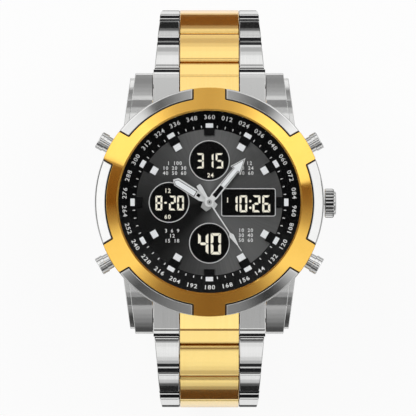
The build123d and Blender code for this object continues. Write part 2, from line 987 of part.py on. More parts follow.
def make_pusher():
    """Make a pusher along +X: cap, collar, stem and the clip that keeps it in the case."""
    outer = pusher_end_radius
    cap = rod_x(pusher_cap_radius, outer - pusher_cap_length, outer)
    collar_x = outer - pusher_cap_length - pusher_collar_length
    collar = rod_x(pusher_collar_radius, collar_x, outer - pusher_cap_length)
    stem = rod_x(pusher_stem_radius, pusher_stem_inner, collar_x)
    half = pusher_clip_width / 2
    clip = block(pusher_stem_inner, pusher_stem_inner + pusher_clip_length, -half, half, -half, half)
    return Pos(0, 0, control_axis_z) * (cap + collar + stem + clip)


def make_contact_springs():
    """Make the four bent contact springs under the module's board, which the pushers press."""
    outer_x = pusher_stem_inner - pusher_travel - contact_gap
    half = contact_width / 2
    tab = block(
        outer_x - contact_thickness, outer_x, -half, half, module_z - contact_height, module_z
    )
    foot = block(
        outer_x - contact_foot, outer_x, -half, half, module_z - contact_thickness, module_z
    )
    return [on_radius(tab + foot, angle) for angle in pusher_clock_angles]


def hand_pipe(outer_radius, inner_radius, z_to):
    """Make a hand's pipe, or an arbor when the inner radius is zero."""
    pipe = disc(outer_radius, pipe_foot_z, z_to)
    if inner_radius > 0:
        pipe = pipe - disc(inner_radius, pipe_foot_z - overrun, z_to + overrun)
    return pipe


def make_hour_hand():
    """Make the hour hand, a pointed baton on its pipe."""
    half = hour_hand_width / 2
    blade = prism_z(
        [
            (-half, -hour_hand_tail),
            (half, -hour_hand_tail),
            (half, hour_hand_length - hour_hand_width),
            (0, hour_hand_length),
            (-half, hour_hand_length - hour_hand_width),
        ],
        hour_hand_z,
        hour_hand_z + hand_thickness,
    )
    blade = at_clock(blade, hour_hand_angle)
    blade = blade + prism_z(octagon(2 * hub_radius), hour_hand_z, hour_hand_z + hand_thickness)
    blade = blade - disc(hour_pipe_radius, hour_hand_z - overrun, hour_hand_z + overrun)
    inner = minute_pipe_radius + running_fit
    return blade + hand_pipe(hour_pipe_radius, inner, hour_hand_z + hand_thickness)


def make_minute_hand():
    """Make the minute hand, a baton with an arrow head on its pipe."""
    half = minute_hand_width / 2
    head = minute_head_width / 2
    neck = minute_hand_length - minute_head_length
    blade = prism_z(
        [
            (-half, -minute_hand_tail),
            (half, -minute_hand_tail),
            (half, neck),
            (head, neck),
            (0, minute_hand_length),
            (-head, neck),
            (-half, neck),
        ],
        minute_hand_z,
        minute_hand_z + hand_thickness,
    )
    blade = at_clock(blade, minute_hand_angle)
    blade = blade + prism_z(octagon(2 * hub_radius), minute_hand_z, minute_hand_z + hand_thickness)
    blade = blade - disc(minute_pipe_radius, minute_hand_z - overrun, minute_hand_z + overrun)
    inner = second_arbor_radius + running_fit
    return blade + hand_pipe(minute_pipe_radius, inner, minute_hand_z + hand_thickness)


def make_second_hand():
    """Make the second hand, a needle with a diamond and a baton tail on its arbor."""
    half = second_hand_width / 2
    tail = second_tail_width / 2
    diamond = second_diamond_width / 2
    diamond_top = second_hand_length - second_diamond_length
    needle = prism_z(
        [
            (-tail, -second_tail_length),
            (tail, -second_tail_length),
            (half, -hub_radius),
            (half, diamond_top - second_diamond_length),
            (diamond, diamond_top - second_diamond_length / 2),
            (half, diamond_top),
            (0, second_hand_length),
            (-half, diamond_top),
            (-diamond, diamond_top - second_diamond_length / 2),
            (-half, diamond_top - second_diamond_length),
            (-half, -hub_radius),
        ],
        second_hand_z,
        second_hand_z + hand_thickness,
    )
    needle = at_clock(needle, second_hand_angle)
    cap = prism_z(octagon(2 * hub_radius), second_hand_z, second_hand_z + hand_thickness)
    return needle + cap + hand_pipe(second_arbor_radius, 0, second_hand_z + hand_thickness)


save("mid_case", [make_mid_case()])
save("case_back", [make_case_back()])
save("bezel", [make_bezel()])
save("bezel_inserts", make_bezel_inserts())
save("crystal", [make_crystal()])
save("chapter_ring", [make_chapter_ring()])
save("dial", [make_dial()])
save("hour_markers", make_hour_markers())
save("window_frames", make_window_frames())
save("lcd_panel", make_lcd_panel())
save("movement_holder", [make_movement_holder()])
save("digital_module", [make_digital_module()])
save("analog_movement", [make_analog_movement()])
save("coin_cells", make_coin_cells())
save("spring_bars", make_spring_bars())
save("hour_hand", [make_hour_hand()])
save("minute_hand", [make_minute_hand()])
save("second_hand", [make_second_hand()])
save("crown", [make_crown()])
save("stem", [make_stem()])
save("setting_lever", [make_setting_lever()])
for clock_angle in pusher_clock_angles:
    save(f"pusher_{round(clock_angle / 30)}", [on_radius(make_pusher(), clock_angle)])
save("contact_springs", make_contact_springs())

end_sides = make_end_link_pair()
save("end_link_sides", end_sides + [mirror(side, about=Plane.XZ) for side in end_sides])
end_centre = make_end_link_centre()
save("end_link_centres", [end_centre, mirror(end_centre, about=Plane.XZ)])

for number in range(link_count):
    sides = place_link(make_link_sides(number), number)
    centre = place_link(make_link_centre(), number)
    save(f"link_12_{number + 1}_sides", [sides])
    save(f"link_6_{number + 1}_sides", [mirror(sides, about=Plane.XZ)])
    upper_centre = [centre, make_clasp_bar()] if number == link_count - 1 else [centre]
    save(f"link_12_{number + 1}_centre", upper_centre)
    save(f"link_6_{number + 1}_centre", [mirror(centre, about=Plane.XZ)])

button = make_clasp_button()
save("clasp_cover", [make_clasp_cover()])
save("clasp_middle_blade", [make_clasp_middle_blade()])
save("clasp_inner_blade", [make_clasp_inner_blade()])
save("clasp_button_right", [button])
save("clasp_button_left", [mirror(button, about=Plane.YZ)])
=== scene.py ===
"""Looks of a wristwatch with hands and displays on a two-tone bracelet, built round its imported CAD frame.

Sizes are millimetres until a mesh is made, which is in metres. The origin is the centre of the
case back's outer face, Z runs out through the crystal, Y towards 12 o'clock and X towards 3 o'clock.
"""

from __future__ import annotations

import logging
import math
from collections.abc import Callable, Sequence
from dataclasses import dataclass, field
from enum import Enum

import bmesh
import bpy
import numpy as np
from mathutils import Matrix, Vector

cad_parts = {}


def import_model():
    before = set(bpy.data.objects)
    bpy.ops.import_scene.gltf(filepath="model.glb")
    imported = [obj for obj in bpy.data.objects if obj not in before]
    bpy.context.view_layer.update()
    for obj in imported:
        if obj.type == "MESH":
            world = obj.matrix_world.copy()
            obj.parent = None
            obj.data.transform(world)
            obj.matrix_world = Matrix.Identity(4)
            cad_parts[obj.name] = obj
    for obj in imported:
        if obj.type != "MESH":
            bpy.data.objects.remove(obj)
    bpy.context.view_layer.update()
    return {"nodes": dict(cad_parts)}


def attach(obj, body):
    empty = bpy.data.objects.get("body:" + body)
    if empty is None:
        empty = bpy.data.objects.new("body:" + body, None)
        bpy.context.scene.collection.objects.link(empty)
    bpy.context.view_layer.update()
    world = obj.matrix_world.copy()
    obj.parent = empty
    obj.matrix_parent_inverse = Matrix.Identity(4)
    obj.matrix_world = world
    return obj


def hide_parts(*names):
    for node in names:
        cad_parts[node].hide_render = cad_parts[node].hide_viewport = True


LOG = logging.getLogger("watch")
METRES = 0.001
PICTURE_PIXELS = 416
SMOOTH_ANGLE = math.radians(32)
# A turned profile that is closed in the middle starts this near its axis.
NEAR_AXIS = 0.001

Point = tuple[float, float]
Points = tuple[Point, ...]
Colour = tuple[float, float, float, float]
Tree = bpy.types.NodeTree
Socket = bpy.types.NodeSocket
Nodes = dict[str, bpy.types.Object]


# Shapes


@dataclass
class Shape:
    """Points in millimetres and the faces that join them.

    Args:
        points: One row of x, y and z for each point.
        faces: Blocks of faces, each block an array with one face a row.
        inner: For each block, which of its faces take the piece's second finish.
    """

    points: np.ndarray
    faces: list[np.ndarray]
    inner: list[np.ndarray] = field(default_factory=list)

    def __post_init__(self) -> None:
        """Give every face the first finish where none was chosen."""
        if len(self.inner) != len(self.faces):
            self.inner = [np.zeros(len(block), bool) for block in self.faces]

    def __add__(self, other: Shape) -> Shape:
        """Put two shapes into one."""
        shifted = [block + len(self.points) for block in other.faces]
        return Shape(np.vstack([self.points, other.points]), self.faces + shifted, self.inner + other.inner)

    def mapped(self, rule: Callable[[np.ndarray], np.ndarray]) -> Shape:
        """Send every point through a rule."""
        return Shape(rule(self.points), self.faces, self.inner)

    def lined(self, rule: Callable[[np.ndarray], np.ndarray]) -> Shape:
        """Choose faces for the second finish by a rule on their middles."""
        middles = [self.points[block].mean(axis=1) for block in self.faces]
        return Shape(self.points, self.faces, [rule(middle) for middle in middles])

    def moved(self, x: float = 0.0, y: float = 0.0, z: float = 0.0) -> Shape:
        """Shift the shape."""
        return Shape(self.points + np.array([x, y, z]), self.faces, self.inner)

    def mirrored(self, axis: int) -> Shape:
        """Reflect the shape through the plane where one coordinate is zero."""
        sign = np.ones(3)
        sign[axis] = -1.0
        return Shape(self.points * sign, self.faces, self.inner)

    def both_sides(self, axis: int) -> Shape:
        """Give the shape with its reflection."""
        return self + self.mirrored(axis)

    def turned(self, degrees: float) -> Shape:
        """Turn the shape about Z, anticlockwise seen from above.

        Args:
            degrees: The angle of the turn.

        Returns:
            The turned shape.
        """
        angle = math.radians(degrees)
        cos, sin = math.cos(angle), math.sin(angle)
        turn = np.array([[cos, sin, 0.0], [-sin, cos, 0.0], [0.0, 0.0, 1.0]])
        return Shape(self.points @ turn, self.faces, self.inner)

    def at_clock(self, degrees: float) -> Shape:
        """Turn a shape made along +Y to an angle read clockwise from 12 o'clock."""
        return self.turned(-degrees)

    def on_radius(self, degrees: float) -> Shape:
        """Turn a shape made along +X to an angle read clockwise from 12 o'clock."""
        return self.turned(90.0 - degrees)


def joined(shapes: Sequence[Shape]) -> Shape:
    """Put many shapes into one.

    Args:
        shapes: The shapes, at least one.

    Returns:
        One shape with all their faces.
    """
    whole = shapes[0]
    for shape in shapes[1:]:
        whole = whole + shape
    return whole


def grid_faces(rows: int, columns: int, close_rows: bool, close_columns: bool) -> np.ndarray:
    """Join a grid's points into quads: each point with its right, opposite and lower neighbour.

    Args:
        rows: How many rows the grid has.
        columns: How many columns the grid has.
        close_rows: Whether the last row joins the first.
        close_columns: Whether the last column joins the first.

    Returns:
        One quad a row.
    """
    row = np.arange(rows if close_rows else rows - 1)[:, None]
    column = np.arange(columns if close_columns else columns - 1)[None, :]
    below, right = (row + 1) % rows, (column + 1) % columns
    upper, lower = row * columns, below * columns
    corners = [upper + column, upper + right, lower + right, lower + column]
    return np.stack(np.broadcast_arrays(*corners), axis=-1).reshape(-1, 4)


def loft(rings: np.ndarray, closed: bool = False) -> Shape:
    """Carry a surface through rings of points: point (i, j) is ring i's point j.

    Args:
        rings: Rings by points by three coordinates.
        closed: Whether the last ring joins the first. Otherwise both ends get a flat cap.

    Returns:
        A closed shape.
    """
    count, size = rings.shape[:2]
    faces = [grid_faces(count, size, closed, True)]
    if not closed:
        first = np.arange(size)[None, ::-1]
        last = (count - 1) * size + np.arange(size)[None, :]
        faces += [first, last]
    return Shape(rings.reshape(-1, 3), faces)


def bent(start: np.ndarray, corner: np.ndarray, end: np.ndarray, steps: int) -> np.ndarray:
    """Draw a parabola from start to end, its ends pointing at the corner.

    At the share t it lies at (1 - t) squared of start, 2t(1 - t) of the corner and t squared of end.

    Args:
        start: Where it starts.
        corner: The corner that it cuts.
        end: Where it ends.
        steps: How many parts it has.

    Returns:
        Its points, along the last axis but one.
    """
    t = np.linspace(0.0, 1.0, steps + 1)[:, None]
    start, corner, end = start[..., None, :], corner[..., None, :], end[..., None, :]
    return (1 - t) ** 2 * start + 2 * t * (1 - t) * corner + t**2 * end


def rounded(
    outline: Sequence[Sequence[float]], radius: float | Sequence[float], steps: int = 4
) -> np.ndarray:
    """Round an outline's corners: a parabola runs from a radius before each corner to a radius past it.

    Args:
        outline: The corners in two coordinates.
        radius: How far from each corner its curve starts, one value or one a corner.
        steps: How many parts each curve has.

    Returns:
        The outline's points, anticlockwise.
    """
    corners = np.asarray(outline, float)
    reach = np.broadcast_to(np.asarray(radius, float), (len(corners),)).copy()
    area = np.sum(corners[:, 0] * np.roll(corners[:, 1], -1) - np.roll(corners[:, 0], -1) * corners[:, 1])
    if area < 0:
        corners, reach = corners[::-1], reach[::-1]
    back = np.roll(corners, 1, axis=0) - corners
    ahead = np.roll(corners, -1, axis=0) - corners
    back_length = np.linalg.norm(back, axis=1)
    ahead_length = np.linalg.norm(ahead, axis=1)
    reach = np.minimum(reach, 0.48 * np.minimum(back_length, ahead_length))[:, None]
    start = corners + back / back_length[:, None] * reach
    end = corners + ahead / ahead_length[:, None] * reach
    return bent(start, corners, end, steps).reshape(-1, 2)


def box_corners(first: Point, second: Point) -> list[Point]:
    """Give a rectangle's corners, anticlockwise, from its reach on the first and second coordinate."""
    return [(first[0], second[0]), (first[1], second[0]), (first[1], second[1]), (first[0], second[1])]


def symmetric(right: Sequence[Point]) -> list[Point]:
    """Give an outline from its right half, read upwards, and that half's mirror image on the left."""
    left = [(-x, y) for x, y in right[::-1] if x]
    return [left[-1], *right, *left[:-1]]


def inset(outline: np.ndarray, distance: float) -> np.ndarray:
    """Draw an anticlockwise outline in: each corner moves along its mitre, so each side moves by a distance.

    Args:
        outline: The outline's points.
        distance: How far its sides move in, or out where it is negative.

    Returns:
        The smaller outline, point for point.
    """
    side = np.roll(outline, -1, axis=0) - outline
    inward = np.stack([-side[:, 1], side[:, 0]], axis=1) / np.linalg.norm(side, axis=1)[:, None]
    before = np.roll(inward, 1, axis=0)
    mitre = (inward + before) / (1 + np.sum(inward * before, axis=1))[:, None]
    return outline + mitre * distance


def circle(radius: float, count: int) -> np.ndarray:
    """Give points round a circle about the origin, anticlockwise."""
    angle = np.linspace(0.0, 2 * math.pi, count, endpoint=False)
    return radius * np.stack([np.cos(angle), np.sin(angle)], axis=1)


def prism(outline: np.ndarray, low: float, high: float, bevel: float = 0.0, steps: int = 3) -> Shape:
    """Stack an outline from one height to another, its edges rounded by a quarter circle.

    Near each end the outline is drawn in by bevel times one minus the sine of the quarter turn,
    at a height of bevel times one minus its cosine.

    Args:
        outline: The outline's points in the first two coordinates.
        low: Where the prism starts on the third.
        high: Where it ends.
        bevel: The radius of its rounded edges.
        steps: How many parts a rounded edge has.

    Returns:
        The prism, its height on Z.
    """
    quarter = np.linspace(0.0, math.pi / 2, steps + 1) if bevel > 0 else np.array([math.pi / 2])
    drawn_in = bevel * (1 - np.sin(quarter))
    rise = bevel * (1 - np.cos(quarter)) if bevel > 0 else np.array([0.0])
    insets = np.concatenate([drawn_in, drawn_in[::-1]])
    heights = np.concatenate([low + rise, (high - rise)[::-1]])
    rings = [
        np.column_stack([inset(outline, amount) if amount else outline, np.full(len(outline), height)])
        for amount, height in zip(insets, heights)
    ]
    return loft(np.stack(rings))


def lathe(profile: np.ndarray, count: int = 160) -> Shape:
    """Turn a closed profile of radius and height about Z.

    Args:
        profile: The profile's points.
        count: How many places it has round the circle.

    Returns:
        The turned shape.
    """
    angle = np.linspace(0.0, 2 * math.pi, count, endpoint=False)[:, None]
    radius, height = profile[None, :, 0], profile[None, :, 1]
    ring = np.stack([radius * np.cos(angle), radius * np.sin(angle), height + 0 * angle], axis=-1)
    return loft(ring, closed=True)


def moulding(outline: np.ndarray, profile: Sequence[Sequence[float]]) -> Shape:
    """Carry a closed profile of offset and height round an outline, mitred at its corners.

    Args:
        outline: The outline, anticlockwise.
        profile: Pairs of how far outside the outline, and how high.

    Returns:
        The moulding.
    """
    rings = [
        np.column_stack([inset(outline, -offset) if offset else outline, np.full(len(outline), height)])
        for offset, height in profile
    ]
    return loft(np.stack(rings), closed=True)


def along_x(shape: Shape) -> Shape:
    """Lay a shape's height along X and its outline in Y and Z."""
    return shape.mapped(lambda p: p[:, [2, 0, 1]])


# Finishes


def linear(code: str) -> Colour:
    """Turn an sRGB hex colour to linear.

    Args:
        code: The colour, such as "#D8D8D6".

    Returns:
        Red, green, blue and an alpha of one.
    """
    share = np.array([int(code[i : i + 2], 16) for i in (1, 3, 5)]) / 255.0
    value = np.where(share <= 0.04045, share / 12.92, ((share + 0.055) / 1.055) ** 2.4)
    return (float(value[0]), float(value[1]), float(value[2]), 1.0)


def add_node(
    tree: Tree, kind: str, settings: dict | None = None, links: dict | None = None
) -> bpy.types.Node:
    """Add one node to a tree.

    Args:
        tree: The tree.
        kind: The node's type name.
        settings: Attributes by name, or input values by their name or number.
        links: Output sockets by the name or number of the input that each feeds.

    Returns:
        The node.
    """
    node = tree.nodes.new(kind)
    for key, value in (settings or {}).items():
        if isinstance(key, str) and hasattr(node, key):
            setattr(node, key, value)
        else:
            node.inputs[key].default_value = value
    for key, socket in (links or {}).items():
        tree.links.new(socket, node.inputs[key])
    return node


def set_greys(ramp: bpy.types.Node, stops: Sequence[Point]) -> None:
    """Set the stops of a colour ramp of greys.

    Args:
        ramp: The ramp's node.
        stops: Pairs of a place from 0 to 1 and a brightness.
    """
    elements = ramp.color_ramp.elements
    while len(elements) < len(stops):
        elements.new(1.0)
    for element, (place, value) in zip(elements, stops):
        element.position = place
        element.color = (value, value, value, 1.0)


def axis_distance(tree: Tree, where: Socket) -> Socket:
    """Add a place's distance from the watch's centre line: the length of its X and Y.

    Args:
        tree: The tree.
        where: The place's socket.

    Returns:
        The distance's socket.
    """
    level = add_node(
        tree, "ShaderNodeVectorMath", {"operation": "MULTIPLY", 1: Vector((1, 1, 0))}, {0: where}
    )
    length = add_node(tree, "ShaderNodeVectorMath", {"operation": "LENGTH"}, {0: level.outputs[0]})
    return length.outputs["Value"]


def clock_angle(tree: Tree, where: Socket) -> Socket:
    """Add a place's angle about the centre line, in radians clockwise from 12 o'clock.

    Args:
        tree: The tree.
        where: The place's socket.

    Returns:
        The angle's socket.
    """
    parts = add_node(tree, "ShaderNodeSeparateXYZ", {}, {0: where})
    links = {0: parts.outputs[0], 1: parts.outputs[1]}
    return add_node(tree, "ShaderNodeMath", {"operation": "ARCTAN2"}, links).outputs[0]


def greys_by_clock(tree: Tree, where: Socket, greys: Sequence[Point]) -> Socket:
    """Add a brightness that changes with a place's angle about the centre line.

    The angle over a whole turn, plus a half, is read on a ramp, so -180 degrees lies at 0.

    Args:
        tree: The tree.
        where: The place's socket.
        greys: Pairs of a clock angle, from -180 at 6 o'clock through 0 at 12, and a brightness.

    Returns:
        The brightness's socket.
    """
    to_share = {"operation": "MULTIPLY_ADD", 1: 0.5 / math.pi, 2: 0.5}
    share = add_node(tree, "ShaderNodeMath", to_share, {0: clock_angle(tree, where)})
    ramp = add_node(tree, "ShaderNodeValToRGB", {}, {0: share.outputs[0]})
    set_greys(ramp, [(angle / 360 + 0.5, value) for angle, value in greys])
    return ramp.outputs[0]


class Grain(Enum):
    """The way a finish's fine lines run."""

    NONE = "none"
    LENGTHWISE = "lengthwise"
    ROUND = "round"
    RAYS = "rays"


# Lengthwise lines run this many times further than they lie apart.
LINE_STRETCH = 60
# Rays lie a grain apart at this radius in millimetres, near the dial's edge.
RAY_RADIUS = 18.0


@dataclass(frozen=True)
class Finish:
    """One finish of the watch.

    Args:
        name: What the material is and how its surface was made.
        colour: Its colour.
        second: The colour that it varies to.
        roughness: How blurred its reflections are.
        spread: How much the roughness varies.
        metallic: One for a metal.
        grain: The way its lines run.
        grain_mm: How far apart the lines or spots are.
        bump_mm: How deep they are.
        scattered: The colour of the light scattered from under its clear coat, if any.
        settings: More values of the shader, by socket name.
    """

    name: str
    colour: str
    second: str
    roughness: float
    spread: float = 0.04
    metallic: float = 0.0
    grain: Grain = Grain.NONE
    grain_mm: float = 0.5
    bump_mm: float = 0.0
    scattered: str = ""
    settings: tuple[tuple[str, object], ...] = ()

    def material(self) -> bpy.types.Material:
        """Give the finish's material, made on its first use.

        Returns:
            The material.
        """
        made = bpy.data.materials.get(self.name)
        if made is not None:
            return made
        made = bpy.data.materials.new(self.name)
        made.use_nodes = True
        tree = made.node_tree
        tree.nodes.clear()
        values = {"Roughness": self.roughness, "Metallic": self.metallic} | dict(self.settings)
        shader = add_node(tree, "ShaderNodeBsdfPrincipled", values)
        surface = shader.outputs["BSDF"]
        if self.scattered:
            below = add_node(tree, "ShaderNodeBsdfDiffuse", {"Color": linear(self.scattered)})
            surface = add_node(tree, "ShaderNodeAddShader", {}, {0: surface, 1: below.outputs[0]}).outputs[0]
        add_node(tree, "ShaderNodeOutputMaterial", {}, {"Surface": surface})
        self.draw(tree, shader)
        return made

    def place(self, tree: Tree) -> Socket:
        """Give the coordinate that the finish's pattern is read at, in steps of its grain.

        Lines lengthwise on the bracelet change only across it, round ones with the distance from
        the watch's centre line, and rays with the angle about it.

        Args:
            tree: The material's tree.

        Returns:
            A vector socket.
        """
        where = add_node(tree, "ShaderNodeTexCoord").outputs["Object"]
        step = 1.0 / (self.grain_mm * METRES)
        if self.grain in (Grain.NONE, Grain.LENGTHWISE):
            along = step if self.grain is Grain.NONE else step / LINE_STRETCH
            scale = {"operation": "MULTIPLY", 1: Vector((step, along, along))}
            return add_node(tree, "ShaderNodeVectorMath", scale, {0: where}).outputs["Vector"]
        if self.grain is Grain.ROUND:
            across, count = axis_distance(tree, where), step
        else:
            across, count = clock_angle(tree, where), RAY_RADIUS / self.grain_mm
        lines = add_node(tree, "ShaderNodeMath", {"operation": "MULTIPLY", 1: count}, {0: across})
        return add_node(tree, "ShaderNodeCombineXYZ", {}, {0: lines.outputs[0]}).outputs[0]

    def draw(self, tree: Tree, shader: bpy.types.Node) -> None:
        """Vary the colour, the roughness and the height with the finish's own grain.

        Args:
            tree: The material's tree.
            shader: Its Principled shader.
        """
        fine = {"Scale": 1.0, "Detail": 3.0, "Roughness": 0.6}
        noise = add_node(tree, "ShaderNodeTexNoise", fine, {"Vector": self.place(tree)}).outputs["Fac"]
        colours = {"data_type": "RGBA", 6: linear(self.colour), 7: linear(self.second)}
        mixed = add_node(tree, "ShaderNodeMix", colours, {0: noise})
        tree.links.new(mixed.outputs[2], shader.inputs["Base Color"])
        limits = {3: self.roughness - self.spread, 4: self.roughness + self.spread}
        rough = add_node(tree, "ShaderNodeMapRange", limits, {0: noise})
        tree.links.new(rough.outputs[0], shader.inputs["Roughness"])
        if self.bump_mm > 0:
            depth = {"Strength": 1.0, "Distance": self.bump_mm * METRES}
            bump = add_node(tree, "ShaderNodeBump", depth, {"Height": noise})
            tree.links.new(bump.outputs["Normal"], shader.inputs["Normal"])


@dataclass(frozen=True)
class SunrayPaintedSheen(Finish):
    """A dial brushed from its centre under smoked lacquer, with painted sheen: light wedges and dark ones
    between them are painted into its colour.

    Args:
        painted_sheen_wedges: The painted sheen, pairs of a clock angle, from -180 at 6 o'clock through 0 at
            12, and a brightness.
    """

    # Painted sheen: the light and shade of the wedges, fixed in the dial's colour by the clock angle.
    painted_sheen_wedges: Points = (
        (-180.0, 0.1), (-150.0, 0.03), (-135.0, 0.004), (-100.0, 0.004), (-45.0, 0.075), (0.0, 0.19),
        (45.0, 0.1), (80.0, 0.09), (110.0, 0.125), (140.0, 0.155), (165.0, 0.15), (180.0, 0.1),
    )

    def draw(self, tree: Tree, shader: bpy.types.Node) -> None:
        """Multiply the fine rays by the painted sheen's brightness at the clock angle about the centre.

        Args:
            tree: The material's tree.
            shader: Its Principled shader.
        """
        super().draw(tree, shader)
        fine = shader.inputs["Base Color"].links[0].from_socket
        where = add_node(tree, "ShaderNodeTexCoord").outputs["Object"]
        links = {0: greys_by_clock(tree, where, self.painted_sheen_wedges), 1: fine}
        mixed = add_node(tree, "ShaderNodeVectorMath", {"operation": "MULTIPLY"}, links)
        tree.links.new(mixed.outputs[0], shader.inputs["Base Color"])


# Polished 316L steel: bright, with reflections that stay sharp and a faint bloom from wear.
POLISHED_STEEL = Finish("polished_steel_buffed", "#E6E6E5", "#DEDEDD", 0.08, 0.03, 1.0, grain_mm=2.5)
# Steel drawn over a belt along the bracelet: reflections smear across the lines. Real lines are
# 0.03 mm apart and don't show in the picture, so they are drawn at 0.16 mm.
BRUSHED_STEEL = Finish(
    "brushed_steel_lengthwise", "#F0F0EF", "#E0E0DF", 0.1, 0.03, 1.0, Grain.LENGTHWISE, 0.16, 0.0004
)
# Near-black steel: cut faces inside the bracelet's joints, dark with oxide, and painted shade on the joints'
# rims in view, the lines across the links, the crown's flute bottoms and the frames' inner slopes; they draw
# the seams.
STEEL_JOINTS_AND_PAINTED_SHADE = Finish("steel_joints_and_painted_shade", "#1C1C1E", "#29292B", 0.4, 0.08, 0.8, grain_mm=0.4)
# Steel turned on a lathe: rings round the back.
TURNED_STEEL = Finish("turned_steel_back", "#D6D6D4", "#BDBDBC", 0.24, 0.06, 1.0, Grain.ROUND, 0.14, 0.0012)
# Steel of the lugs, lapped: its reflections blend into soft gradients.
LAPPED_STEEL = Finish("lug_steel_lapped", "#E9E9E8", "#DDDDDC", 0.14, 0.03, 1.0, grain_mm=1.2)
# Gold plating polished over steel: warm and mirror-like. The clear coat over it scatters a deep
# brown, which is what it shows where it reflects something dark.
POLISHED_GOLD = Finish(
    "gold_plating_polished", "#EAC665", "#E3BE5A", 0.08, 0.03, 1.0, grain_mm=2.5, scattered="#78420A",
    settings=(("Coat Weight", 0.15),),
)
# Gold plating over steel brushed along the bracelet, drawn coarser for the same reason as the steel.
BRUSHED_GOLD = Finish(
    "gold_plating_brushed", "#F6E298", "#EFD784", 0.1, 0.03, 1.0, Grain.LENGTHWISE, 0.16, 0.0004, "#78420A",
    (("Coat Weight", 0.1),),
)
# Brown gold: thin plating over cut faces inside the joints, and painted shade where it reaches the joints'
# rims in view.
GOLD_JOINTS_AND_PAINTED_SHADE = Finish("gold_joints_and_painted_shade", "#8E5216", "#A56820", 0.38, 0.08, 0.9, grain_mm=0.4)
# Black lacquer, sprayed and slightly glossy, with a fine dust-like tooth.
BLACK_LACQUER = Finish(
    "black_lacquer_sprayed", "#060607", "#0C0C0D", 0.22, 0.04, grain_mm=0.25,
    settings=(("Specular IOR Level", 0.12),),
)
# A black sheet under the gap between bezel and insert: painted shade in the joint.
BEZEL_GAP_SHADE = Finish("bezel_gap_painted_shade", "#050505", "#0A0A0A", 0.5, 0.05, grain_mm=0.3)
# Brass brushed from the centre under smoked lacquer, with fine rays; its grey wedges that fade to black are
# painted sheen.
# The rays are drawn half a millimetre apart, coarser than real ones, which would not show.
SUNRAY_PAINTED_SHEEN = SunrayPaintedSheen(
    "sunray_lacquer_painted_sheen", "#B4B4B5", "#FFFFFF", 0.42, 0.06, 0.0, Grain.RAYS, 0.5,
    settings=(("Specular IOR Level", 0.1),),
)
# Luminous paint: matt white with a faint grit.
LUME = Finish("luminous_paint_cured", "#F7F8FA", "#E4E6E9", 0.55, 0.05, grain_mm=0.18)
# Printed white ink on the ring and the dial.
PRINT = Finish("pad_print_white", "#ECECEC", "#DADADA", 0.5, 0.05, grain_mm=0.15)
# Satin steel of hands and frames: paler than the polished case because it scatters light.
SATIN_STEEL = Finish("hand_steel_satin", "#EEEEEE", "#DDDDDE", 0.33, 0.06, 0.4, grain_mm=0.3)
# The same steel brushed: a flat mid grey beside the satin faces.
HAND_GREY = Finish("hand_steel_brushed", "#B9B9B9", "#A2A2A2", 0.4, 0.06, 0.5, grain_mm=0.3)
# The dark glass over a negative display: nearly black, smooth.
DISPLAY_GLASS = Finish("display_glass_polarised", "#020202", "#050505", 0.07, 0.02, grain_mm=1.2)
# Segments of the display, a warm white, with a painted glow: they give off a little light, though they are
# no lamp.
SEGMENTS_PAINTED_GLOW = Finish(
    "display_segments_painted_glow", "#F3EEDF", "#E8E2D0", 0.5, 0.05, grain_mm=0.2,
    settings=(("Emission Color", linear("#FFF8E0")), ("Emission Strength", 0.15)),
)
# Mineral glass, lapped flat: clear, with the faint green of its edge.
MINERAL_GLASS = Finish(
    "mineral_glass_lapped", "#EAF2EE", "#F4F7F5", 0.03, 0.02, grain_mm=4.0,
    settings=(("Alpha", 0.12), ("Transmission Weight", 1.0), ("IOR", 1.52)),
)
# Acetal moulded round the module: dark and matt with a fine pebble from the tool.
MODULE_PLASTIC = Finish(
    "module_plastic_moulded", "#2C2D2E", "#3A3B3C", 0.5, 0.06, grain_mm=0.35, bump_mm=0.004
)
# Glass-filled epoxy board under green solder resist: slightly glossy, with a faint weave.
BOARD_RESIN = Finish("board_resin_coated", "#1E4D33", "#275E3F", 0.38, 0.05, grain_mm=0.5, bump_mm=0.003)
# Rolled brass strip: yellow metal with blurred reflections.
SPRING_BRASS = Finish("spring_brass_rolled", "#C9A253", "#B98F42", 0.28, 0.05, 1.0, grain_mm=0.3)


def shade_by_area(mesh: bpy.types.Mesh) -> None:
    """Shade a mesh so that its broad faces look flat and its narrow ones carry the bend.

    A corner's normal is the mean of the face normals round its point, weighted by the area squared,
    over the faces that bend from its own by less than SMOOTH_ANGLE.

    Args:
        mesh: The mesh.
    """
    count, faces = len(mesh.loops), len(mesh.polygons)
    corner, size = np.zeros(count, int), np.zeros(faces, int)
    area, normal = np.zeros(faces), np.zeros(faces * 3)
    mesh.loops.foreach_get("vertex_index", corner)
    mesh.polygons.foreach_get("loop_total", size)
    mesh.polygons.foreach_get("area", area)
    mesh.polygons.foreach_get("normal", normal)
    face, normal = np.repeat(np.arange(faces), size), normal.reshape(-1, 3)
    order, met = np.argsort(corner, kind="stable"), np.bincount(corner, minlength=len(mesh.vertices))
    each = met[corner]
    mine = np.repeat(np.arange(count), each)
    turn = np.arange(len(mine)) - np.repeat(np.cumsum(each) - each, each)
    other = order[(np.cumsum(met) - met)[corner[mine]] + turn]
    own, near = normal[face[mine]], normal[face[other]]
    weight = area[face[other]] ** 2 * 1e12 * (np.sum(own * near, axis=1) > math.cos(SMOOTH_ANGLE))
    total = np.stack([np.bincount(mine, near[:, axis] * weight, count) for axis in range(3)], axis=1)
    length = np.linalg.norm(total, axis=1)[:, None]
    total = np.where(length > 0, total / np.maximum(length, 1e-30), normal[face])
    mesh.normals_split_custom_set(total.tolist())


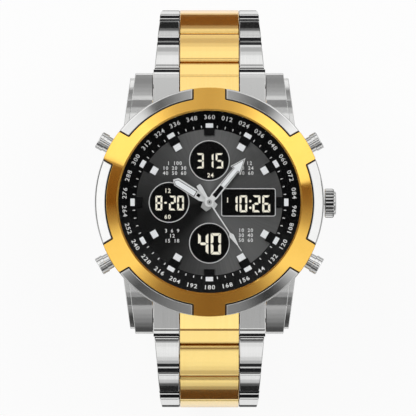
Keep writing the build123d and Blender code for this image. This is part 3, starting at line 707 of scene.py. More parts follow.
def add_piece(
    name: str,
    shape: Shape,
    finish: Finish,
    body: str,
    stands_for: Sequence[str] = (),
    inner: Finish | None = None,
) -> bpy.types.Object:
    """Make one piece of the watch.

    Its doubled points are merged and its faces turned outwards before shade_by_area.

    Args:
        name: The piece's name.
        shape: Its shape in millimetres.
        finish: Its finish.
        body: The CAD body that it moves with.
        stands_for: The CAD nodes that it replaces.
        inner: The finish of the faces that the shape marks as inner: joint faces, and faces painted dark as
            shade.

    Returns:
        The piece's object.
    """
    mesh = bpy.data.meshes.new(name)
    faces = [face for block in shape.faces for face in block.tolist()]
    mesh.from_pydata(shape.points * METRES, [], faces)
    if inner is not None:
        mesh.polygons.foreach_set("material_index", np.concatenate(shape.inner).astype(np.int32))
    work = bmesh.new()
    work.from_mesh(mesh)
    bmesh.ops.remove_doubles(work, verts=work.verts, dist=0.002 * METRES)
    bmesh.ops.dissolve_degenerate(work, edges=work.edges, dist=0.0005 * METRES)
    bmesh.ops.recalc_face_normals(work, faces=work.faces)
    work.to_mesh(mesh)
    work.free()
    mesh.shade_smooth()
    shade_by_area(mesh)
    for each in (finish, inner):
        if each is not None:
            mesh.materials.append(each.material())
    piece = bpy.data.objects.new(name, mesh)
    bpy.context.scene.collection.objects.link(piece)
    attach(piece, body)
    if stands_for:
        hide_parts(*stands_for)
    LOG.info("%s: %d points on %s", name, len(mesh.vertices), body)
    return piece


def dress(nodes: Nodes, names: Sequence[str], finish: Finish) -> None:
    """Give CAD nodes whose shapes are right a better finish.

    Args:
        nodes: All CAD nodes.
        names: Those to dress.
        finish: Their finish.
    """
    for name in names:
        for slot in nodes[name].material_slots:
            slot.material = finish.material()
        LOG.info("%s: dressed", name)


# Case


@dataclass
class Case:
    """The case middle with its lugs, and the back."""

    radius: float = 22.3
    wall: float = 3.7
    floor_z: float = 0.9
    top_z: float = 8.7
    foot_radius: float = 20.4
    foot_z: float = 3.3
    edge: float = 0.18
    lug_x: Point = (11.35, 14.9)
    step_x: float = 15.8
    lug_root_y: float = 14.8
    lug_flare: float = 1.5
    lug_tip_y: float = 26.3
    lug_crease_y: float = 20.7
    lug_crease_drop: float = 0.4
    lug_root_drop: float = 0.05
    # The lug's flat before the crease: places on Y, and how far each lies above the crease.
    lug_flat: Points = ((18.0, 0.07), (19.1, 0.01))
    lug_hollow: float = 0.16
    lug_tip_z: float = 4.2
    lug_under_z: float = 0.6
    lug_chamfer: float = 0.4
    step_drop: float = 1.3
    step_short: float = 1.0
    step_overlap: float = 0.8
    lug_bevel: float = 0.13
    back_radius: float = 18.5
    back_thickness: float = 2.2
    land_width: float = 2.6
    groove_width: float = 0.6
    groove_depth: float = 0.25
    groove_slope: float = 0.3
    bar_y: float = 23.6
    bar_z: float = 3.6
    bar_radius: float = 0.75
    bar_reach: float = 12.35
    bar_tip_radius: float = 0.45
    bar_tip_length: float = 1.1
    bar_taper: float = 0.1

    def middle(self) -> Shape:
        """Turn the case wall: a profile of radius and height with a small round on each edge.

        Returns:
            The wall without its lugs.
        """
        bore = self.radius - self.wall
        corners = [
            (bore, self.floor_z), (self.foot_radius, self.floor_z), (self.radius, self.foot_z),
            (self.radius, self.top_z), (bore, self.top_z),
        ]
        return lathe(rounded(corners, [0.05, 0.6, 0.8, self.edge, 0.05]), 192)

    def lug_outline(self, drop: float, tip_y: float) -> np.ndarray:
        """Give a lug's side outline in Y and Z.

        Args:
            drop: How far its top is lowered.
            tip_y: Where it ends.

        Returns:
            The outline with slightly rounded corners.
        """
        top = self.top_z - drop
        chamfer = self.lug_chamfer
        crease = np.array([self.lug_crease_y, top - self.lug_crease_drop])
        facet = np.array([tip_y - chamfer, self.lug_tip_z]) - crease
        share = np.linspace(0.0, 1.0, 7)[1:-1, None]
        sunk = self.lug_hollow * 4 * share * (1 - share) / np.linalg.norm(facet)
        hollow = crease + facet * share + np.array([facet[1], -facet[0]]) * sunk
        corners = [
            (self.lug_root_y, top - self.lug_root_drop),
            *[(y, crease[1] + above) for y, above in self.lug_flat],
            crease,
            *hollow,
            (tip_y - chamfer, self.lug_tip_z),
            (tip_y, self.lug_tip_z - chamfer),
            (tip_y - chamfer / 2, self.lug_under_z + chamfer),
            (tip_y - 2 * chamfer, self.lug_under_z),
            (self.lug_root_y, self.floor_z),
        ]
        return rounded(corners, [0.05, 0.2, 0.2, 0.1, *[0.3] * 5, 0.1, 0.1, 0.3, 0.3, 0.05], 3)

    def lugs(self) -> Shape:
        """Make the four lugs: a main bar and a lower, shorter step outside it, each a bevelled prism.

        Returns:
            All four lugs.
        """
        inner, outer = self.lug_x
        main = prism(self.lug_outline(0.0, self.lug_tip_y), inner, outer, self.lug_bevel)
        lower = self.lug_outline(self.step_drop, self.lug_tip_y - self.step_short)
        step = prism(lower, outer - self.step_overlap, self.step_x, self.lug_bevel)

        def flared(points: np.ndarray) -> np.ndarray:
            """Widen the lug towards the case, most at its outer side."""
            back = (self.lug_tip_y - points[:, 1]) / (self.lug_tip_y - self.lug_root_y)
            out = np.clip((points[:, 0] - inner) / (outer - inner), 0.0, 1.0)
            return points + np.column_stack([self.lug_flare * back * out, 0 * back, 0 * back])

        return along_x(main + step).mapped(flared).both_sides(0).both_sides(1)

    def back(self) -> Shape:
        """Turn the back: a raised middle, a groove, and an outer land.

        Returns:
            The back plate.
        """
        land = self.back_radius - self.land_width
        width, depth, slope = self.groove_width, self.groove_depth, self.groove_slope
        edge, thick = self.back_radius, self.back_thickness
        corners = [
            (NEAR_AXIS, 0.0), (land - width - slope, 0.0), (land - width, depth), (land, depth),
            (land + slope, 0.0), (edge - depth, 0.0), (edge, depth), (edge, thick), (NEAR_AXIS, thick),
        ]
        return lathe(rounded(corners, 0.08, 2), 160)

    def spring_bars(self) -> Shape:
        """Turn the two spring bars with thinner tips, laid along X.

        Returns:
            Both bars.
        """
        reach, radius, tip = self.bar_reach, self.bar_radius, self.bar_tip_radius
        shoulder = reach - self.bar_tip_length
        body = [(NEAR_AXIS, 0.0), (radius, 0.0), (radius, shoulder - self.bar_taper)]
        half = [*body, (tip, shoulder), (tip, reach), (NEAR_AXIS, reach)]
        bar = along_x(lathe(rounded(half, 0.04, 2), 32)).both_sides(0)
        return bar.moved(0.0, self.bar_y, self.bar_z).both_sides(1)

    def build(self) -> None:
        """Make the case's pieces."""
        add_piece("case_middle", self.middle() + self.lugs(), LAPPED_STEEL, "case", ["mid_case"])
        add_piece("case_back_plate", self.back(), TURNED_STEEL, "case", ["case_back"])
        add_piece("lug_bars", self.spring_bars(), POLISHED_STEEL, "case", ["spring_bars"])


# Bezel and crystal


@dataclass
class Bezel:
    """The gold bezel with six tabs, the steel inserts between them, and the glass."""

    bore: float = 18.3
    lip: float = 0.34
    lip_drop: float = 0.4
    base_z: float = 8.7
    top_z: float = 12.2
    rim_z: float = 10.75
    radius: float = 23.0
    pocket_radius: float = 20.7
    pocket_z: float = 9.7
    tab_width: float = 6.3
    gap: float = 0.26
    gap_shade_drop: float = 0.3
    gap_shade_in: float = 0.05
    skirt_overlap: float = 0.4
    skirt_in: float = 0.03
    proud: float = 0.06
    insert_inner_z: float = 11.26
    insert_soft: float = 0.16
    edge: float = 0.1
    corner: float = 0.3
    count: int = 6
    glass_radius: float = 18.26
    glass_z: Point = (10.65, 11.5)

    def slope_z(self, radius: np.ndarray) -> np.ndarray:
        """Give the height of the bezel's sloping face at a radius, on a straight line from lip to rim."""
        start = self.bore + self.lip
        return self.top_z + (self.rim_z - self.top_z) * (radius - start) / (self.radius - start)

    def outline(self, grow: float) -> np.ndarray:
        """Draw the gold's plan: an arc at the pocket, out along the tab's side, and round the tab.

        Args:
            grow: How far it is drawn larger than the gold.

        Returns:
            The plan, anticlockwise, in X and Y.
        """
        half = self.tab_width / 2
        step = 2 * math.pi / self.count
        inner_turn = math.asin(half / self.pocket_radius)
        outer_turn = math.asin(half / self.radius)
        arc = np.linspace(inner_turn - step, -inner_turn, 26)[1:-1]
        tab = np.linspace(-outer_turn, outer_turn, 8)[1:-1]
        pocket_arc = self.pocket_radius * np.stack([np.sin(arc), np.cos(arc)], axis=1)
        tab_arc = self.radius * np.stack([np.sin(tab), np.cos(tab)], axis=1)

        def bend(corner: np.ndarray, before: np.ndarray, after: np.ndarray) -> np.ndarray:
            """Round one corner between the points before and after it."""
            start = corner + (before - corner) / np.linalg.norm(before - corner) * self.corner
            end = corner + (after - corner) / np.linalg.norm(after - corner) * self.corner
            return bent(start, corner, end, 4)

        inner_left = self.pocket_radius * np.array([-math.sin(inner_turn), math.cos(inner_turn)])
        outer_left = self.radius * np.array([-math.sin(outer_turn), math.cos(outer_turn)])
        flip = np.array([-1.0, 1.0])
        one = np.vstack(
            [
                pocket_arc,
                bend(inner_left, pocket_arc[-1], outer_left),
                bend(outer_left, inner_left, tab_arc[0]),
                tab_arc,
                bend(outer_left * flip, tab_arc[-1], inner_left * flip),
                bend(inner_left * flip, outer_left * flip, pocket_arc[-1] * flip),
            ]
        )
        turns = -step * np.arange(self.count)[:, None]
        x = one[None, :, 0] * np.cos(turns) - one[None, :, 1] * np.sin(turns)
        y = one[None, :, 0] * np.sin(turns) + one[None, :, 1] * np.cos(turns)
        plan = np.stack([x, y], axis=-1).reshape(-1, 2)[::-1]
        return inset(plan, -grow) if grow else plan

    def toothed_ring(self, grow: float, drop: float, limit: float) -> Shape:
        """Raise the gold's plan to its slope: rings run up the bore, out over the lip and down at the plan.

        Every point of the top lies on the cone of slope_z, lowered by drop.

        Args:
            grow: How far the plan is drawn larger.
            drop: How far the top is lowered.
            limit: The largest radius that it may reach.

        Returns:
            The closed ring.
        """
        plan = self.outline(grow)
        radius = np.minimum(np.linalg.norm(plan, axis=1), limit)
        unit = plan / np.linalg.norm(plan, axis=1)[:, None]
        edge, start = self.edge, self.bore + self.lip
        inner = [(self.bore, self.base_z), (self.bore, self.top_z - self.lip_drop - drop)]
        rings = [np.column_stack([unit * r, np.full(len(unit), z)]) for r, z in inner]
        for share in (0.0, 0.25, 0.5, 0.75, 1.0):
            reach = start + (radius - edge - start) * share
            rings.append(np.column_stack([unit * reach[:, None], self.slope_z(reach) - drop]))
        for turn in (0.5, 1.0):
            reach = radius - edge * (1 - math.sin(turn * math.pi / 2))
            height = self.slope_z(radius) - drop - edge * (1 - math.cos(turn * math.pi / 2))
            rings.append(np.column_stack([unit * reach[:, None], height]))
        rings.append(np.column_stack([unit * radius[:, None], np.full(len(unit), self.base_z)]))
        return loft(np.stack(rings), closed=True)

    def skirt(self) -> Shape:
        """Turn the low gold ring under the inserts."""
        reach = (self.pocket_radius - self.skirt_overlap, self.radius - self.skirt_in)
        return lathe(rounded(box_corners(reach, (self.base_z, self.pocket_z)), 0.06, 2), 192)

    def insert(self) -> Shape:
        """Carry an insert's section along its arc.

        At radius r the arc runs between the angles whose sines are the tab's half width over r,
        so both ends stand parallel to the tabs. The first and last sections are drawn in.

        Returns:
            The insert between the tabs at 12 and 2 o'clock.
        """
        inner = self.pocket_radius + self.gap
        outer = self.radius
        corners = [
            (inner, self.pocket_z), (outer, self.pocket_z), (outer, self.rim_z + self.proud),
            (inner, self.insert_inner_z),
        ]
        section = rounded(corners, [0.05, 0.05, 0.32, 0.14], 4)
        step = 2 * math.pi / self.count
        half = self.tab_width / 2 + self.gap
        shares = np.linspace(0.0, 1.0, 28)[1:-1]
        quarter = np.linspace(0.0, math.pi / 2, 4)
        shrink = self.insert_soft * (1 - np.sin(quarter))
        shift = self.insert_soft * (1 - np.cos(quarter))
        draw_in = np.concatenate([shrink, 0 * shares, shrink[::-1]])
        offset = np.concatenate([shift, 0 * shares, -shift[::-1]])
        along = np.concatenate([0 * quarter, shares, 0 * quarter + 1])
        rings = []
        for amount, push, share in zip(draw_in, offset, along):
            shrunk = inset(section, amount) if amount else section
            radius = shrunk[:, 0]
            first = np.arcsin(half / radius)
            angle = first + (step - 2 * first) * share + push / radius
            rings.append(np.column_stack([radius * np.sin(angle), radius * np.cos(angle), shrunk[:, 1]]))
        return loft(np.stack(rings))

    def glass(self) -> Shape:
        """Turn the flat glass with a ground edge."""
        corners = box_corners((NEAR_AXIS, self.glass_radius), self.glass_z)
        return lathe(rounded(corners, [0.001, 0.05, 0.16, 0.001], 3), 160)

    def build(self) -> None:
        """Make the bezel's pieces."""
        gold = self.toothed_ring(0.0, 0.0, self.radius) + self.skirt()
        add_piece("bezel_ring", gold, POLISHED_GOLD, "case", ["bezel"])
        # The black sheet under the gap is painted shade.
        gap_shade = self.toothed_ring(self.gap, self.gap_shade_drop, self.radius - self.gap_shade_in)
        add_piece("bezel_gap_shade", gap_shade, BEZEL_GAP_SHADE, "case")
        inserts = joined([self.insert().at_clock(360 / self.count * index) for index in range(self.count)])
        add_piece("steel_inserts", inserts, POLISHED_STEEL, "case", ["bezel_inserts"])
        add_piece("watch_glass", self.glass(), MINERAL_GLASS, "case", ["crystal"])


# Dial


@dataclass
class Digits:
    """Plain numbers: printed ones from the built-in font and seven-segment ones."""

    glyphs: dict[str, Shape] = field(default_factory=dict)
    # The bars that each lit sign shows, in the order a to g.
    lit: dict[str, str] = field(
        default_factory=lambda: {
            "0": "abcdef", "1": "bc", "2": "abged", "3": "abgcd", "4": "fgbc", "5": "afgcd", "6": "afgedc",
            "7": "abc", "8": "abcdefg", "9": "abcdfg", "-": "g",
        }
    )
    # A printed sign's half thickness and added boldness, for a sign of the font's own size.
    extrude: float = 0.02
    boldness: float = 0.014
    bar_gap: float = 0.085
    bar_lean: float = 0.04
    bar_thickness: float = 0.015

    def glyph(self, sign: str) -> Shape:
        """Give one printed sign, one unit high and centred, a hair thick.

        Args:
            sign: The digit or mark.

        Returns:
            Its shape.
        """
        if sign not in self.glyphs:
            curve = bpy.data.curves.new("sign", "FONT")
            curve.body = sign
            curve.resolution_u = 3
            curve.extrude = self.extrude
            curve.offset = self.boldness
            text = bpy.data.objects.new("sign", curve)
            mesh = bpy.data.meshes.new_from_object(text)
            points = np.zeros(len(mesh.vertices) * 3)
            mesh.vertices.foreach_get("co", points)
            points = points.reshape(-1, 3)
            sizes = np.zeros(len(mesh.polygons), int)
            mesh.polygons.foreach_get("loop_total", sizes)
            corners = np.zeros(len(mesh.loops), int)
            mesh.loops.foreach_get("vertex_index", corners)
            faces = [face[None, :] for face in np.split(corners, np.cumsum(sizes)[:-1])]
            middle = (points.max(0) + points.min(0)) / 2
            height = points[:, 1].max() - points[:, 1].min()
            self.glyphs[sign] = Shape((points - middle) / height, faces)
            bpy.data.objects.remove(text)
            bpy.data.curves.remove(curve)
            bpy.data.meshes.remove(mesh)
        return self.glyphs[sign]

    def printed(self, number: str, height: float, width: float = 0.86, thickness: float = 0.012) -> Shape:
        """Set a printed number in a line, centred.

        Args:
            number: Its digits; a blank leaves a space.
            height: How tall they are.
            width: How wide each digit's place is, as a share of the height.
            thickness: How thick the ink is.

        Returns:
            The number about the origin, reading along X.
        """
        places = (np.arange(len(number)) - (len(number) - 1) / 2) * width * height
        scale = np.array([height, height, thickness / (2 * self.extrude)])
        signs = [
            self.glyph(sign).mapped(lambda p: p * scale).moved(float(place))
            for sign, place in zip(number, places)
            if sign != " "
        ]
        return joined(signs)

    def segment(self, name: str, width: float, height: float, stroke: float) -> np.ndarray:
        """Draw one of the seven bars with bevelled ends, a small gap from its neighbours.

        Args:
            name: Which bar, a to g in the usual order.
            width: The digit's width.
            height: The digit's height.
            stroke: The bar's thickness.

        Returns:
            The bar's outline.
        """
        x, y, s, g = width / 2, height / 2, stroke, self.bar_gap
        lean = s - self.bar_lean
        shapes = {
            "a": [(-x + g, y), (x - g, y), (x - g - lean, y - s), (-x + g + lean, y - s)],
            "b": [(x, y - g), (x, g), (x - s / 2, g), (x - s, g + s / 2), (x - s, y - g - lean)],
            "g": [
                (-x + g + s / 2, 0), (-x + g + s, s / 2), (x - g - s, s / 2),
                (x - g - s / 2, 0), (x - g - s, -s / 2), (-x + g + s, -s / 2),
            ],
        }
        flips = {"d": ("a", 1, -1), "c": ("b", 1, -1), "f": ("b", -1, 1), "e": ("b", -1, -1)}
        for bar, (source, across, up) in flips.items():
            shapes[bar] = [(px * across, py * up) for px, py in shapes[source]]
        return rounded(shapes[name], 0.04, 2)

    def lit_digit(self, sign: str, width: float, height: float, stroke: float) -> Shape:
        """Make one seven-segment digit, centred on the origin."""
        bars = [self.segment(name, width, height, stroke) for name in self.lit[sign]]
        return joined([prism(bar, 0.0, self.bar_thickness) for bar in bars])


@dataclass
class Dial:
    """The dial side: ring, markers, frames, displays and their numbers."""

    digits: Digits
    top_z: float = 8.5
    ring_inner: float = 14.7
    ring_outer: float = 18.3
    ring_top_z: float = 10.65
    tooth: Point = (13.45, 16.3)
    tooth_width: float = 2.1
    tooth_rise: float = 0.5
    marker_count: int = 12
    marker_width: float = 1.5
    outer_block: Point = (15.0, 16.1)
    inner_block: Point = (12.15, 13.4)
    block_top_z: float = 9.2
    inner_block_rise: float = 0.45
    window_radius: float = 3.75
    windows: Points = ((0.0, 8.4), (-8.1, 0.0), (0.0, -8.2))
    wide_x: Point = (2.7, 13.0)
    wide_half: float = 2.5
    frame_width: float = 0.34
    frame_height: float = 0.2
    frame_foot: float = 0.45
    display_z: float = 7.8
    # How far ink and lit bars stand off what they are on.
    ink_lift: float = 0.012
    lit_lift: float = 0.004
    code_count: int = 30
    code_radius: float = 17.1
    code_height: float = 1.0
    # Codes between these clock angles stand on their heads.
    codes_turned: Point = (95.0, 265.0)
    tick_radius: float = 15.25
    tick_half: Point = (0.08, 0.27)
    # Each lit row: its signs, the middle of the first on X, the distance between middles, the
    # middle on Y, and the width, height and stroke of a sign.
    lit_rows: tuple[tuple[str, float, float, float, tuple[float, float, float]], ...] = (
        ("315", -1.88, 1.95, 8.4, (1.5, 3.05, 0.36)),
        ("8", -10.15, 0.0, -0.1, (1.38, 2.95, 0.38)),
        ("-", -8.8, 0.0, -0.05, (1.2, 2.95, 0.36)),
        ("20", -7.44, 1.64, -0.1, (1.36, 2.95, 0.38)),
        ("40", -1.24, 2.54, -8.3, (2.06, 4.3, 0.54)),
        ("10", 4.9, 1.93, -0.25, (1.54, 3.4, 0.42)),
        ("26", 9.45, 1.97, -0.25, (1.58, 3.4, 0.42)),
    )
    dot_radius: float = 0.25
    dots: Points = ((8.22, 0.28), (8.22, -1.05))
    # Plain numbers beside the lit rows: text, middle on X and Y, and height.
    labels: tuple[tuple[str, float, float, float], ...] = (
        ("24", 0.2, 5.5, 0.86), ("12", -8.4, 2.4, 0.86), ("60", -8.4, -2.86, 0.86), ("1", 3.65, 0.5, 1.0),
    )
    # Stacks of small numbers: the middle line's middle on X and Y, and the lines from the top.
    stacks: tuple[tuple[float, float, tuple[str, ...]], ...] = (
        (-7.0, 6.9, ("1 100", "10 20 30", "40 50 60")),
        (7.4, 6.9, ("1 12", "13 24", "30 60")),
        (-7.5, -6.7, ("3 6 9", "12", "15 18")),
        (7.3, -6.6, ("10 20", "30 40", "50 60")),
    )
    stack_height: float = 0.72
    stack_pitch: float = 1.0

    def ring_z(self, radius: np.ndarray) -> np.ndarray:
        """Give the slanted ring's height at a radius, a straight line from its inner to its outer edge."""
        share = (radius - self.ring_inner) / (self.ring_outer - self.ring_inner)
        return self.top_z + (self.ring_top_z - self.top_z) * share

    def ring(self) -> Shape:
        """Turn the slanted ring and set twelve low teeth on its inner edge.

        Returns:
            The ring with its teeth.
        """
        outer = self.ring_outer
        corners = [(self.ring_inner, self.top_z), (outer, self.top_z), (outer, self.ring_top_z)]
        ring = lathe(rounded(corners, [0.03, 0.02, 0.02], 2), 160)
        half = self.tooth_width / 2
        plan = rounded(box_corners((-half, half), self.tooth), 0.06, 2)
        tooth = prism(plan, self.top_z, self.top_z + self.tooth_rise, 0.06, 2)
        step = 360 / self.marker_count
        return ring + joined([tooth.at_clock(step * index) for index in range(self.marker_count)])

    def block(self, reach: Point, high: float) -> Shape:
        """Make one white block of a marker, along +Y."""
        half = self.marker_width / 2
        return prism(rounded(box_corners((-half, half), reach), 0.05, 2), self.top_z, high, 0.05, 2)

    def markers(self) -> Shape:
        """Set the white blocks: an outer one at every hour, an inner one except at the quarters.

        Returns:
            All blocks.
        """
        outer = self.block(self.outer_block, self.block_top_z)
        inner = self.block(self.inner_block, self.top_z + self.inner_block_rise)
        step = 360 / self.marker_count
        blocks = [outer.at_clock(step * index) for index in range(self.marker_count)]
        blocks += [inner.at_clock(step * index) for index in range(self.marker_count) if index % 3]
        return joined(blocks)

    def on_ring(self, flat: Shape, clock: float, radius: float, lift: float) -> Shape:
        """Wrap a flat shape onto the slanted ring.

        Its X becomes an angle of x over the radius, its Y runs up the slope, and its height stands
        on the slope.

        Args:
            flat: The shape about the origin.
            clock: The angle of its middle, clockwise from 12 o'clock.
            radius: Where its middle lies.
            lift: How far it stands off the ring.

        Returns:
            The wrapped shape.
        """
        x, y, z = flat.points.T
        slope = math.atan2(self.ring_top_z - self.top_z, self.ring_outer - self.ring_inner)
        reach = radius + y * math.cos(slope)
        angle = math.radians(clock) + x / radius
        height = self.ring_z(reach) + z + lift
        return Shape(np.column_stack([reach * np.sin(angle), reach * np.cos(angle), height]), flat.faces)

    def ring_print(self) -> Shape:
        """Print the ring: a three-digit number at every code place and four ticks between hours.

        Numbers in the lower half stand on their heads, so they read from below.

        Returns:
            All the ring's print.
        """
        marks = []
        step = 360 / self.code_count
        for index in range(self.code_count):
            clock = step * index
            number = self.digits.printed(f"{round(clock) or 360:03d}", self.code_height, 0.8)
            if self.codes_turned[0] < clock < self.codes_turned[1]:
                number = number.turned(180.0)
            marks.append(self.on_ring(number, clock, self.code_radius, 0.01))
        across, along = self.tick_half
        tick = prism(np.array(box_corners((-across, across), (-along, along))), 0.0, 0.02)
        for minute in range(60):
            if minute % 5:
                marks.append(self.on_ring(tick, minute * 6.0, self.tick_radius, self.ink_lift))
        return joined(marks)

    def frames(self) -> Shape:
        """Carry a profile round each window: a slope inside in the dark finish, painted shade, and a bright
        ridge outside.

        Returns:
            The four frames.
        """
        width, height, low = self.frame_width, self.frame_height, self.top_z
        ridge, foot = width * 0.5, low - self.frame_foot
        profile = [
            (0.0, foot), (0.0, low + height * 0.2), (ridge, low + height * 0.55),
            (ridge + 0.03, low + height), (width - 0.03, low + height),
            (width, low + height * 0.8), (width, low), (0.04, foot),
        ]
        frames = [moulding(circle(self.window_radius, 96), profile).moved(x, y) for x, y in self.windows]
        wide = rounded(box_corners(self.wide_x, (-self.wide_half, self.wide_half)), 0.18, 3)
        whole = joined(frames + [moulding(wide, profile)])
        # The lower faces, the slope inside, are painted dark as shade.
        return whole.lined(lambda middles: middles[:, 2] < low + height * 0.6)

    def lit_row(
        self, signs: str, first_x: float, pitch: float, y: float, size: tuple[float, float, float]
    ) -> Shape:
        """Set a row of seven-segment digits.

        Args:
            signs: The digits.
            first_x: The middle of the first.
            pitch: The distance between middles.
            y: Their middle's height on the dial.
            size: Width, height and stroke.

        Returns:
            The row on the display.
        """
        digits = [self.digits.lit_digit(sign, *size) for sign in signs]
        low = self.display_z + self.lit_lift
        return joined([digit.moved(first_x + pitch * index, y, low) for index, digit in enumerate(digits)])

    def displays(self) -> Shape:
        """Set the four displays' segments, which carry a painted glow, and plain numbers.

        Returns:
            All lit segments.
        """
        low = self.display_z + self.lit_lift
        dot = prism(circle(self.dot_radius, 14), 0.0, self.digits.bar_thickness)
        rows = [self.lit_row(*row) for row in self.lit_rows]
        rows += [dot.moved(x, y, low) for x, y in self.dots]
        rows += [self.digits.printed(text, high, 0.8).moved(x, y, low) for text, x, y, high in self.labels]
        return joined(rows)

    def small_print(self) -> Shape:
        """Print four small stacks of plain numbers between the windows.

        Returns:
            The print on the dial.
        """
        lines = []
        for x, y, texts in self.stacks:
            for row, text in enumerate(texts):
                line = self.digits.printed(text, self.stack_height, 0.84)
                lines.append(line.moved(x, y + (1 - row) * self.stack_pitch, self.top_z + self.ink_lift))
        return joined(lines)

    def build(self, nodes: Nodes) -> None:
        """Make the dial's pieces and dress the plate and the display glasses.

        Args:
            nodes: All CAD nodes.
        """
        dress(nodes, ["dial"], SUNRAY_PAINTED_SHEEN)
        dress(nodes, ["lcd_panel"], DISPLAY_GLASS)
        add_piece("slanted_ring", self.ring(), BLACK_LACQUER, "case", ["chapter_ring"])
        add_piece("marker_blocks", self.markers(), LUME, "case", ["hour_markers"])
        add_piece("display_frames", self.frames(), SATIN_STEEL, "case", ["window_frames"], STEEL_JOINTS_AND_PAINTED_SHADE)
        add_piece("ring_print", self.ring_print(), PRINT, "case")
        add_piece("dial_print", self.small_print(), PRINT, "case")
        # The segments carry a painted glow.
        add_piece("segments_painted_glow", self.displays(), SEGMENTS_PAINTED_GLOW, "case")


# Hands


@dataclass
class Hands:
    """The three hands, each on its pipe."""

    thickness: float = 0.22
    hub_radius: float = 1.0
    pipe_low_z: float = 5.9
    hour_z: float = 9.0
    minute_z: float = 9.45
    second_z: float = 9.9
    hour_clock: float = 302.0
    minute_clock: float = 39.3
    second_clock: float = 146.7
    # Outlines in X and Y of hands that point along +Y. Blades, tails, roots and heads are the +X
    # half of one, for symmetric. An edge is the black lining round a panel, bar or head of paint.
    hour_blade: Points = ((0.42, 0.6), (0.85, 1.9), (0.85, 7.8), (0.0, 8.6))
    hour_tail: Points = ((0.5, -1.6), (0.75, -0.4), (0.4, 0.6))
    hour_panel: Points = ((-0.6, 3.35), (0.4, 3.35), (0.4, 7.65), (-0.08, 8.15), (-0.6, 7.65))
    hour_edge: Points = ((-0.72, 3.2), (0.52, 3.2), (0.52, 7.72), (-0.08, 8.27), (-0.72, 7.72))
    hour_slot: tuple[Point, Point] = ((-0.32, 0.32), (2.25, 2.95))
    minute_blade: Points = ((0.55, 0.5), (0.74, 1.6), (0.62, 8.3), (1.3, 8.3), (0.0, 11.5))
    minute_tail: Points = (
        (-1.05, -0.8), (-0.7, -1.85), (0.7, -1.85), (1.05, -0.8), (0.5, 0.5), (-0.5, 0.5)
    )
    minute_root: Points = ((0.45, 1.5), (0.42, 4.05))
    minute_bar: tuple[Point, Point] = ((-0.4, 0.4), (4.3, 8.6))
    minute_bar_edge: tuple[Point, Point] = ((-0.5, 0.5), (4.3, 8.42))
    minute_head: Points = ((0.9, 8.52), (0.0, 10.9))
    minute_head_edge: Points = ((1.06, 8.42), (0.0, 11.1))
    needle: Points = ((0.15, 0.8), (0.09, 11.8))
    diamond: Points = ((0.0, 7.2), (0.5, 8.1), (0.13, 10.3), (-0.13, 10.3), (-0.5, 8.1))
    second_tail: Points = ((0.42, -4.1), (0.5, -3.4), (0.26, -0.8))
    # Paint and black linings start this far under a hand's top.
    sunk: float = 0.02
    lume_thickness: float = 0.055
    slot_thickness: float = 0.03

    def plate(self, corners: Sequence[Point], low: float, thick: float, soft: float = 0.05) -> Shape:
        """Cut a flat plate with a bevelled edge."""
        return prism(rounded(corners, 0.05, 2), low, low + thick, soft, 2)

    def lume(self, corners: Sequence[Point], top: float) -> Shape:
        """Fill a hand's opening with paint, a little over its top."""
        return self.plate(corners, top - self.sunk, self.lume_thickness, 0.01)

    def slot(self, corners: Sequence[Point], top: float) -> Shape:
        """Line a hand's opening with black, a hair over its top."""
        return self.plate(corners, top - self.sunk, self.slot_thickness, 0.005)

    def pipe(self, radius: float, high: float) -> Shape:
        """Turn a hand's pipe from the movement up to the hand."""
        corners = box_corners((NEAR_AXIS, radius), (self.pipe_low_z, high))
        return lathe(rounded(corners, [0.001, 0.03, 0.03, 0.001], 2), 32)

    def hub(self, radius: float, low: float, high: float) -> Shape:
        """Turn a hand's round hub."""
        corners = box_corners((NEAR_AXIS, radius), (low, high))
        return lathe(rounded(corners, [0.001, 0.03, 0.08, 0.001], 3), 48)

    def build_hour(self) -> None:
        """Make the hour hand: a steel baton with a blunt point, a lume panel and a dark slot by the hub."""
        low, top = self.hour_z, self.hour_z + self.thickness
        blade = self.plate(symmetric(self.hour_blade), low, self.thickness)
        steel = blade + self.plate(symmetric(self.hour_tail), low, self.thickness)
        steel = (steel + self.hub(self.hub_radius, low, top)).at_clock(self.hour_clock)
        add_piece("hour_blade", steel + self.pipe(0.85, top), SATIN_STEEL, "hour", ["hour_hand"])
        add_piece("hour_lume", self.lume(self.hour_panel, top).at_clock(self.hour_clock), LUME, "hour")
        slots = self.slot(box_corners(*self.hour_slot), top) + self.slot(self.hour_edge, top)
        add_piece("hour_slots", slots.at_clock(self.hour_clock), BLACK_LACQUER, "hour")

    def build_minute(self) -> None:
        """Make the minute hand: a skeleton root of two thin rails, a lume bar and an arrow head."""
        low, top = self.minute_z, self.minute_z + self.thickness
        blade = self.plate(symmetric(self.minute_blade), low, self.thickness)
        whole = (blade + self.hub(1.05, low, top)).at_clock(self.minute_clock) + self.pipe(0.55, top)
        add_piece("minute_blade", whole, SATIN_STEEL, "minute", ["minute_hand"])
        tail = self.plate(self.minute_tail, low + 0.01, self.thickness - 0.02)
        add_piece("minute_tail", tail.at_clock(self.minute_clock), HAND_GREY, "minute")
        bar, head = box_corners(*self.minute_bar), symmetric(self.minute_head)
        lume = self.lume(bar, top) + self.lume(head, top)
        add_piece("minute_lume", lume.at_clock(self.minute_clock), LUME, "minute")
        bar, head = box_corners(*self.minute_bar_edge), symmetric(self.minute_head_edge)
        edges = [symmetric(self.minute_root), bar, head]
        slots = joined([self.slot(edge, top) for edge in edges]).at_clock(self.minute_clock)
        add_piece("minute_slot", slots, BLACK_LACQUER, "minute")

